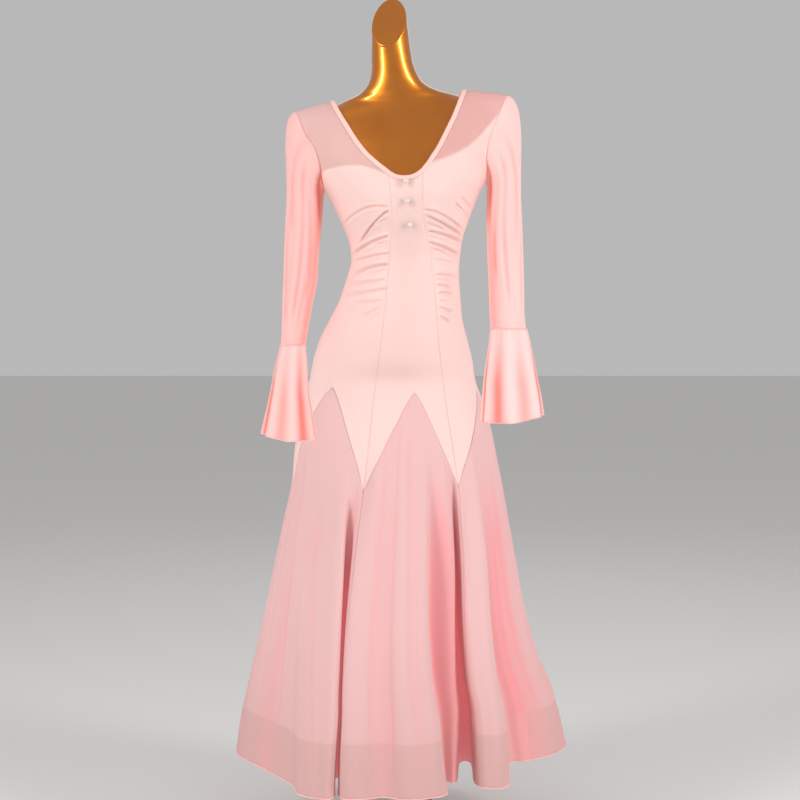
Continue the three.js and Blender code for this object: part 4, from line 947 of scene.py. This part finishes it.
def neck_binding():
    place, at = neck_loop()
    path = dress(place, at)
    normal = surface_normal(place, at)
    for _ in range(6):
        normal = unit(normal + np.roll(normal, 1, 0) + np.roll(normal, -1, 0))
    into = unit(np.cross(unit(np.roll(path, -2, 0) - np.roll(path, 2, 0)), normal))
    rows = [path + into * inward + normal * height for inward, height in BINDING_PROFILE]
    points = np.stack([np.concatenate([row, row[:1]]) for row in rows])
    piece = cloth("neck_binding", points, "binding", ring=True)
    return finish_piece(piece, BINDING, "binding_satin", "neck_binding")


binding = neck_binding()


def bust_lining():
    place, rises = around(361, 0.0, 1.0, 18)
    at = mix(LINING_FOOT, lining_height(place), rises)
    masks = {"band_and_painted_light": ease((rises - 0.94) / 0.05)}  # its bound top edge is paler
    piece = cloth("bust_lining", dress(place, at), "lining", ring=True, masks=masks, away=-LINING_BEHIND)
    return finish_piece(piece, LINING, "lining_mesh", "bust_lining")


lining = bust_lining()

# ---- pearls
# Each pearl: its x and height on the front, and how far it is held off the cloth.
BUTTONS = [(11.6, 1216, 2.6), (13.5, 1179.2, 1.0), (18.4, 1134, 1.0)]
for number, (x, height, off) in enumerate(BUTTONS, 1):
    at = np.array(height, float)
    place = place_of(angle_at(np.array(x), at), at)
    normal = surface_normal(place, at)
    centre = metres(dress(place, at) + normal * (off + PEARL_RADIUS))
    turned = Vector((0, 0, 1)).rotation_difference(Vector(normal)).to_matrix()
    mesh = bmesh.new()
    bmesh.ops.create_uvsphere(mesh, u_segments=36, v_segments=22, radius=PEARL_RADIUS * 0.001)
    bmesh.ops.rotate(mesh, verts=mesh.verts, matrix=turned)
    bmesh.ops.translate(mesh, verts=mesh.verts, vec=Vector(centre))
    for face in mesh.faces:
        face.smooth = True
    finish_piece(keep(f"pearl_{number}", mesh), PEARL, "pearl", f"button_{number}")

# ---- sleeves and flounces
RINGS = "at outer inner y deep"
FLOUNCE_RINGS = RINGS + " flute"
SLEEVES = {
    "left": {
        "sign": -1,  # the side of x that it is on
        "rings": Table(RINGS, [
            (901, -232, -185, -72, 28), (950, -231, -177, -60, 32), (990, -230, -171, -50, 35),
            (1030, -229, -164, -40, 38), (1090, -228, -160.5, -27, 41), (1150, -227, -156, -14, 44),
            (1196, -226, -154, -5, 47),
        ]),
        "flounce": Table(FLOUNCE_RINGS, [
            (718, -270, -159, -103, 50, 8), (774, -258, -169, -95, 43, 5.5), (813, -251, -176, -88, 38, 4),
            (852, -245, -179, -81, 34, 2.5), (900.4, -234, -184, -72, 28, 0.4),
        ]),
        "rise": 12.0,  # how far the outer side of the flounce's hem is lifted
        "flutes": (7, 0.4),  # how many, and the phase of the first
        "painted_light": (0.16, 0.62),  # share of the light colour, painted as light, in the sleeve and in the flounce
    },
    "right": {
        "sign": 1,
        "rings": Table(RINGS, [
            (932, 246, 178, -66, 34), (960, 244, 176, -58, 36), (1030, 243, 175, -40, 39),
            (1090, 242, 173, -27, 41), (1150, 241, 173, -14, 44), (1200, 241, 174, -5, 47),
        ]),
        "flounce": Table(FLOUNCE_RINGS, [
            (752, 281, 154, -98, 50, 8), (794, 275, 158, -92, 46, 6), (833, 268, 162, -85, 41, 4),
            (910, 255, 174, -69, 35, 1.2), (931.4, 249, 177, -66, 34, 0.4),
        ]),
        "rise": 14.0,
        "flutes": (7, 1.1),
        "painted_light": (0.55, 1.0),
    },
}
# Each fold of a sleeve: turn round it, heights where it starts and ends, depth, half width in turns.
SLEEVE_FOLDS = {
    "left": [
        (0.16, 1330, 1090, 2.2, 0.030), (0.24, 1300, 930, 3.0, 0.026), (0.33, 1240, 960, 2.4, 0.028),
        (0.10, 1180, 920, 2.0, 0.030), (0.41, 1290, 1120, 2.6, 0.030), (0.29, 1080, 905, 1.8, 0.022),
        (0.60, 1300, 950, 2.6, 0.032), (0.74, 1320, 1000, 2.4, 0.034), (0.88, 1250, 930, 2.2, 0.034),
    ],
    "right": [
        (0.15, 1340, 1080, 2.2, 0.030), (0.25, 1310, 960, 3.0, 0.026), (0.34, 1280, 1010, 2.8, 0.028),
        (0.08, 1200, 950, 2.0, 0.030), (0.42, 1300, 1100, 2.8, 0.030), (0.20, 1090, 940, 1.8, 0.022),
        (0.62, 1300, 980, 2.6, 0.032), (0.76, 1330, 1040, 2.4, 0.034), (0.90, 1240, 960, 2.2, 0.034),
    ],
}


SLEEVE_TONE = 0.55  # share of the deep colour painted as shade at the bottom of a full fold
FULL_SLEEVE_FOLD = 3.0
FLUTE_DRIFT = {"twice": 0.55, "thrice": 0.35, "depth": 0.35}  # how uneven the flutes of a flounce are


def flute_wave(turn, count, phase):
    """0 on a flute's crest and about -1 in the valleys between the flutes."""
    angle = 2 * np.pi * turn
    uneven = FLUTE_DRIFT["twice"] * np.sin(2 * angle + 0.7) + FLUTE_DRIFT["thrice"] * np.sin(3 * angle + 2.1)
    deep = 1 + FLUTE_DRIFT["depth"] * np.sin(2 * angle + 1.9)
    return deep * (np.cos(count * angle + phase + uneven) - 1) * 0.5


def ring_point(read, level, sign, turn, flutes=None):
    angle = 2 * np.pi * turn
    half = np.abs(read.outer(level) - read.inner(level)) / 2
    middle = (read.outer(level) + read.inner(level)) / 2
    ripple = 0.0
    if flutes:
        ripple = read.flute(level) * flute_wave(turn, *flutes)
    x = middle + sign * (half + ripple) * np.cos(angle)
    y = read.y(level) - (read.deep(level) + ripple) * np.sin(angle)
    return np.stack(np.broadcast_arrays(x, y, level), axis=-1)


def armhole_point(side, turn):
    front = turn <= 0.5
    drop = np.where(front, turn * 2, (1 - turn) * 2)
    at = mix(SHOULDER, UNDERARM, np.sin(drop * np.pi / 2) ** 1.15 * 0.35 + drop * 0.65)
    edges = {"left": (ARM_LEFT, ARM_LEFT_BACK), "right": (ARM_RIGHT, ARM_RIGHT_BACK)}[side]
    return dress(np.where(front, edges[0](at), edges[1](at)), at)


def anticlockwise(points, sign):
    return points[:, ::-1] if sign > 0 else points


def sleeve_cloth(name, sign, points, relief, fold_shade, painted_light):
    # painted light through the band mask, painted shade through the fold shade mask
    given = {"points": points, "relief": relief, "fold_shade": fold_shade, "band_and_painted_light": painted_light * (1 - fold_shade)}
    given = {key: anticlockwise(value, sign) for key, value in given.items()}
    points, relief = given.pop("points"), given.pop("relief")
    piece = cloth(name, points, "mesh", ring=True, relief=relief, masks=given)
    return finish_piece(piece, SLEEVE_MESH, "sleeve_mesh", name)


def sleeve(side):
    data = SLEEVES[side]
    sign, read = data["sign"], data["rings"]
    turn = np.linspace(0, 1, 85)
    first, last = read.at[0], read.at[-1]
    levels = np.linspace(first, last, 96)
    arm = ring_point(read, levels[:, None], sign, turn[None])
    t = np.linspace(1, 0, 56)[1:, None]
    under = (0.5 - 0.5 * np.cos(2 * np.pi * turn))[None]  # 0 on the shoulder, 1 under the arm
    start = armhole_point(side, turn)[None].copy()
    start[..., 0] += sign * mix(0.1, 0.4, under)
    end = ring_point(read, np.full(turn.shape, last), sign, turn)[None]
    reach = np.linalg.norm(start - end, axis=-1)
    leave = np.stack([sign * mix(0.55, 0.3, under), 0 * under, mix(-0.12, -0.9, under)], axis=-1)
    leave = leave * reach[..., None]
    arrive = np.stack([0 * reach, 0 * reach, -1.5 * reach], axis=-1)
    points = np.concatenate([arm, curve(t[..., None], start, leave, end, arrive)])
    turns = np.broadcast_to(turn[None], points.shape[:2])
    height = points[..., 2]
    relief = np.zeros(height.shape)
    for where, high, low, deep, wide in SLEEVE_FOLDS[side]:
        drift = 0.02 * np.sin((height - low) / 60.0 + where * 20)
        gap = np.abs((turns - where - drift + 0.5) % 1 - 0.5)
        fade = ease((high - height) / 70.0) * ease((height - low) / 60.0)
        relief += fade * deep * (0.5 * bell((gap / wide - 1.9) / 1.1) - bell(gap / wide))
    fold_shade = SLEEVE_TONE * np.clip(-relief / FULL_SLEEVE_FOLD, 0, 1)
    up = spans(points, 0)
    relief += seam_roll(up[-1:] - up, 0.5, 1.4) + seam_roll(up, 0.3, 1.4)
    # painted shade on the sleeve's inner side, towards the body
    inner = bell(((turns - 0.41 + 0.5) % 1 - 0.5) / 0.06) * ease((1350 - height) / 90)
    fold_shade = np.clip(fold_shade + 0.5 * inner, 0, 1)
    # painted light: paler towards the outer side, where the light falls
    painted_light = data["painted_light"][0] + 0.2 * (0.5 + 0.5 * np.cos(2 * np.pi * turns))
    return sleeve_cloth(f"sleeve_{side}", sign, points, relief, fold_shade, painted_light)


# Each pucker: turn round the cuff, length down from the seam, depth.
CUFF_PUCKERS = [
    (0.02, 16, 0.8), (0.07, 26, 1.1), (0.11, 14, 0.7), (0.16, 30, 1.2), (0.2, 18, 0.9), (0.25, 34, 1.3),
    (0.29, 15, 0.8), (0.34, 28, 1.2), (0.38, 20, 0.9), (0.43, 32, 1.1), (0.48, 16, 0.8), (0.54, 26, 1.0),
    (0.6, 18, 0.8), (0.66, 30, 1.1), (0.72, 17, 0.8), (0.79, 27, 1.0), (0.86, 19, 0.9), (0.93, 29, 1.1),
]


FLOUNCE_ROLL, CUFF_SEAM = 1.0, 0.9  # radii of a flounce's rolled hem and of the seam above it
SEAM_GAP = 0.6  # between a sleeve and its flounce, under that seam


def flounce(side):
    data = SLEEVES[side]
    sign, read = data["sign"], data["flounce"]
    turn = np.linspace(0, 1, 217)
    first, last = read.at[0], read.at[-1]
    levels = np.linspace(first, last, 46)[:, None]
    down = last - levels
    points = ring_point(read, levels, sign, turn[None], data["flutes"])
    rise = data["rise"] * np.maximum(np.cos(2 * np.pi * turn), 0)[None]
    points[..., 2] += rise * (1 - ease((levels - first) / (last - first)))
    valley = -flute_wave(turn, *data["flutes"])
    # painted shade in the valleys between the flutes
    fold_shade = np.clip(valley[None] * (0.35 + 0.65 * ease(down / 120.0)), 0, 1)
    relief = np.zeros(points.shape[:2])
    for where, length, deep in CUFF_PUCKERS:
        gap = np.abs((turn[None] - where + 0.5) % 1 - 0.5)
        relief -= 1.5 * deep * bell(gap / 0.012) * ease((length - down) / length) * ease((down + 2) / 6)
    relief += seam_roll(down, 0.4, 1.6)
    piece = sleeve_cloth(f"flounce_{side}", sign, points, relief, fold_shade, data["painted_light"][1])
    ring = anticlockwise(points, sign)[:, :-1]
    seam = ring[-1] + np.array([0.0, 0.0, SEAM_GAP / 2])
    return piece, [
        rolled_edge(f"flounce_edge_{side}", ring[0], FLOUNCE_ROLL, ROLLED_HEM, "sleeve_mesh"),
        rolled_edge(f"cuff_seam_{side}", seam, CUFF_SEAM, ROLLED_HEM, "sleeve_mesh"),
    ]


sleeves = {side: sleeve(side) for side in SLEEVES}
flounces = {side: flounce(side) for side in SLEEVES}
for side, (cuff, trims) in flounces.items():
    sleeves[side].visible_shadow = False  # the softboxes' light passes through the fine mesh
    for thin in [cuff, *trims]:
        thin.visible_shadow = False
        thin.visible_diffuse = False

# ---- the form
TORSO = Table("at centre half front back square lean", [
    (490, -8, 130, 72, 92, 2.2, 0), (560, -9, 139, 80, 100, 2.2, 0), (640, -11, 147, 86, 108, 2.2, 0),
    (720, -13, 153, 88, 112, 2.15, 0), (790, -14, 157, 86, 113, 2.1, 0), (830, -15, 156, 84, 110, 2.1, 0),
    (870, -14, 149, 88, 103, 2.1, 0), (910, -13, 138, 91, 93, 2.1, 0), (950, -8, 123, 88, 83, 2.1, 0),
    (990, 0, 111, 81, 75, 2.1, 0), (1040, 6.5, 101.5, 71, 66, 2.1, 0), (1070, 11, 98.5, 69, 63, 2.1, 0),
    (1110, 12, 104, 76, 68, 2.1, 0), (1150, 12, 119, 85, 74, 2.15, 0), (1190, 11, 135, 90, 80, 2.2, 0),
    (1218, 10, 147, 89, 82, 2.2, 0), (1260, 9, 166, 83, 78, 2.2, 1), (1300, 8, 181, 73, 69, 2.2, 3),
    (1335, 6, 188, 60, 58, 2.1, 6), (1360, 4, 178, 50, 49, 1.9, 8), (1376, 2, 160, 46, 46, 1.7, 9),
    (1388, 0, 130, 45, 46, 1.55, 10), (1397, -2, 106, 45, 47, 1.6, 10), (1405, -4, 84, 44, 47, 1.75, 10),
    (1414, -7, 67, 43, 47, 1.9, 9), (1428, -10, 53, 41, 45, 2, 7), (1450, -13, 44, 38, 42, 2, 4),
    (1474, -16.5, 40.5, 36, 39, 2, 2), (1560, -22, 34.5, 34, 34, 2, 0),
])
FORM_TILT = Table("at tilt", [(1000, 0), (1070, 0.03), (1150, 0.058), (1414, 0.06), (1474, 0)])


def form_body():
    angle = np.linspace(0, 2 * np.pi, 97)[None]
    sine, cosine = np.sin(angle), np.cos(angle)
    body = np.concatenate([np.linspace(FORM_BOTTOM, 1290, 70), np.linspace(1294, NECK_FOOT, 86)])[:, None]
    x, y = oval(TORSO, sine, cosine, body)
    z = body + FORM_TILT.tilt(body) * x
    y = y - np.where(y < 0, cup_swell(x, z, **BARE_CUP), 0)
    lower = np.stack([x, y, z], axis=-1)
    rises = np.linspace(0, 1, 9)[1:, None]
    x, y = oval(TORSO, sine, cosine, mix(NECK_FOOT, TORSO.at[-1], rises))
    cut = NECK_CUT["height"] + NECK_CUT["across"] * x + NECK_CUT["back"] * y
    upper = np.stack([x, y, mix(NECK_FOOT, cut, rises)], axis=-1)
    mesh = grid_mesh(np.concatenate([lower, upper]))
    rims = [side for side in mesh.edges if side.is_boundary]
    bmesh.ops.holes_fill(mesh, edges=rims, sides=0)
    bmesh.ops.bevel(mesh, geom=rims, offset=RIM_ROUND, affect="EDGES", segments=3, profile=0.5, material=-1)
    bmesh.ops.recalc_face_normals(mesh, faces=mesh.faces)
    for face in mesh.faces:
        face.smooth = len(face.verts) < 5  # the neck's cut and the underside stay flat
    return finish_piece(keep("form_body", mesh), GOLD, "gold_shell", "form_body")


form = form_body()

# ---- the stand
def turned_part(name, outline, node, bevel=0.0006):
    """A part turned about the pole's axis, from its outline of (radius, height) in millimetres."""
    mesh = bmesh.new()
    corners = [mesh.verts.new((radius * 0.001, 0, height * 0.001)) for radius, height in outline]
    edges = [mesh.edges.new(pair) for pair in zip(corners, corners[1:])]
    axis = {"cent": (0, 0, 0), "axis": (0, 0, 1)}
    bmesh.ops.spin(mesh, geom=corners + edges, angle=2 * math.pi, steps=96, use_merge=True, **axis)
    bmesh.ops.remove_doubles(mesh, verts=mesh.verts, dist=1e-7)
    bmesh.ops.recalc_face_normals(mesh, faces=mesh.faces)
    for face in mesh.faces:
        face.smooth = True
    sharp = [e for e in mesh.edges if e.is_manifold and e.calc_face_angle(0) > math.radians(35)]
    bmesh.ops.bevel(mesh, geom=sharp, offset=bevel, affect="EDGES", segments=2, profile=0.5, material=-1)
    return finish_piece(keep(name, mesh), METAL, "stand_metal", node)


turned_part("stand_base_disc", [(0, 0), (170, 0), (170, 6), (167, 9), (0, 9)], "stand_base")
turned_part("stand_collar_ring", [(0, 9.3), (28, 9.3), (28, 35.3), (20, 43.3), (0, 43.3)], "stand_collar")
turned_part("stand_pole_tube", [(0, 43.6), (13, 43.6), (13, 559.4), (0, 559.4)], "stand_pole")
turned_part("stand_flange_disc", [(0, 559.7), (44, 559.7), (44, 569.7), (0, 569.7)], "stand_flange")

# ---- the cuts
# Flat width, length and area of each flounce's cut in metres, as laid out along the cloth, without seam
# allowances; they are only listed, and nothing below uses them.
for side, width, length, area in (("left", 0.34, 0.19, 0.0444), ("right", 0.36, 0.186, 0.0512)):
    cuff, trims = flounces[side]

# ---- floor, light and camera
def floor():
    mesh = bmesh.new()
    bmesh.ops.create_grid(mesh, x_segments=1, y_segments=1, size=30)
    piece = keep("floor", mesh, ridden=False)
    piece.location.z = -0.0005
    material, tree, shader = new_material("pale_floor")
    give(tree, shader, {"Base Color": (0.8, 0.79, 0.78, 1), "Roughness": 0.8})
    piece.data.materials.append(material)


def soft_light(name, at, target, size, power):
    data = bpy.data.lights.new(name, "AREA")
    data.shape = "RECTANGLE"
    data.size, data.size_y = size
    data.energy = power
    light = bpy.data.objects.new(name, data)
    scene.collection.objects.link(light)
    light.location = at
    light.rotation_euler = (Vector(target) - Vector(at)).to_track_quat("-Z", "Y").to_euler()


floor()
soft_light("left_softbox", (-2.3, -1.9, 1.95), (0, 0, 1.05), (0.5, 3.4), 60)
soft_light("right_softbox", (2.6, -1.75, 1.95), (0, 0, 1.05), (0.5, 3.4), 70)
soft_light("back_softbox", (0.2, 3.0, 2.9), (0, 0, 0.7), (2.6, 1.6), 8)
world = bpy.data.worlds.new("studio")
world.use_nodes = True
give(world.node_tree, world.node_tree.nodes["Background"], {"Color": (0.80, 0.80, 0.80, 1), "Strength": 0.6})
scene.world = world
scene.view_settings.view_transform = "Standard"

camera_data = bpy.data.cameras.new("camera")
camera_data.sensor_width = 36
camera_data.lens = 67.5
camera_data.shift_y = -0.0875
camera_data.clip_end = 60
camera = bpy.data.objects.new("camera", camera_data)
scene.collection.objects.link(camera)
camera.location = (-0.0506, -3.0, 1.01)
camera.rotation_euler = (math.radians(90), 0, 0)
scene.camera = camera

bpy.context.view_layer.update()
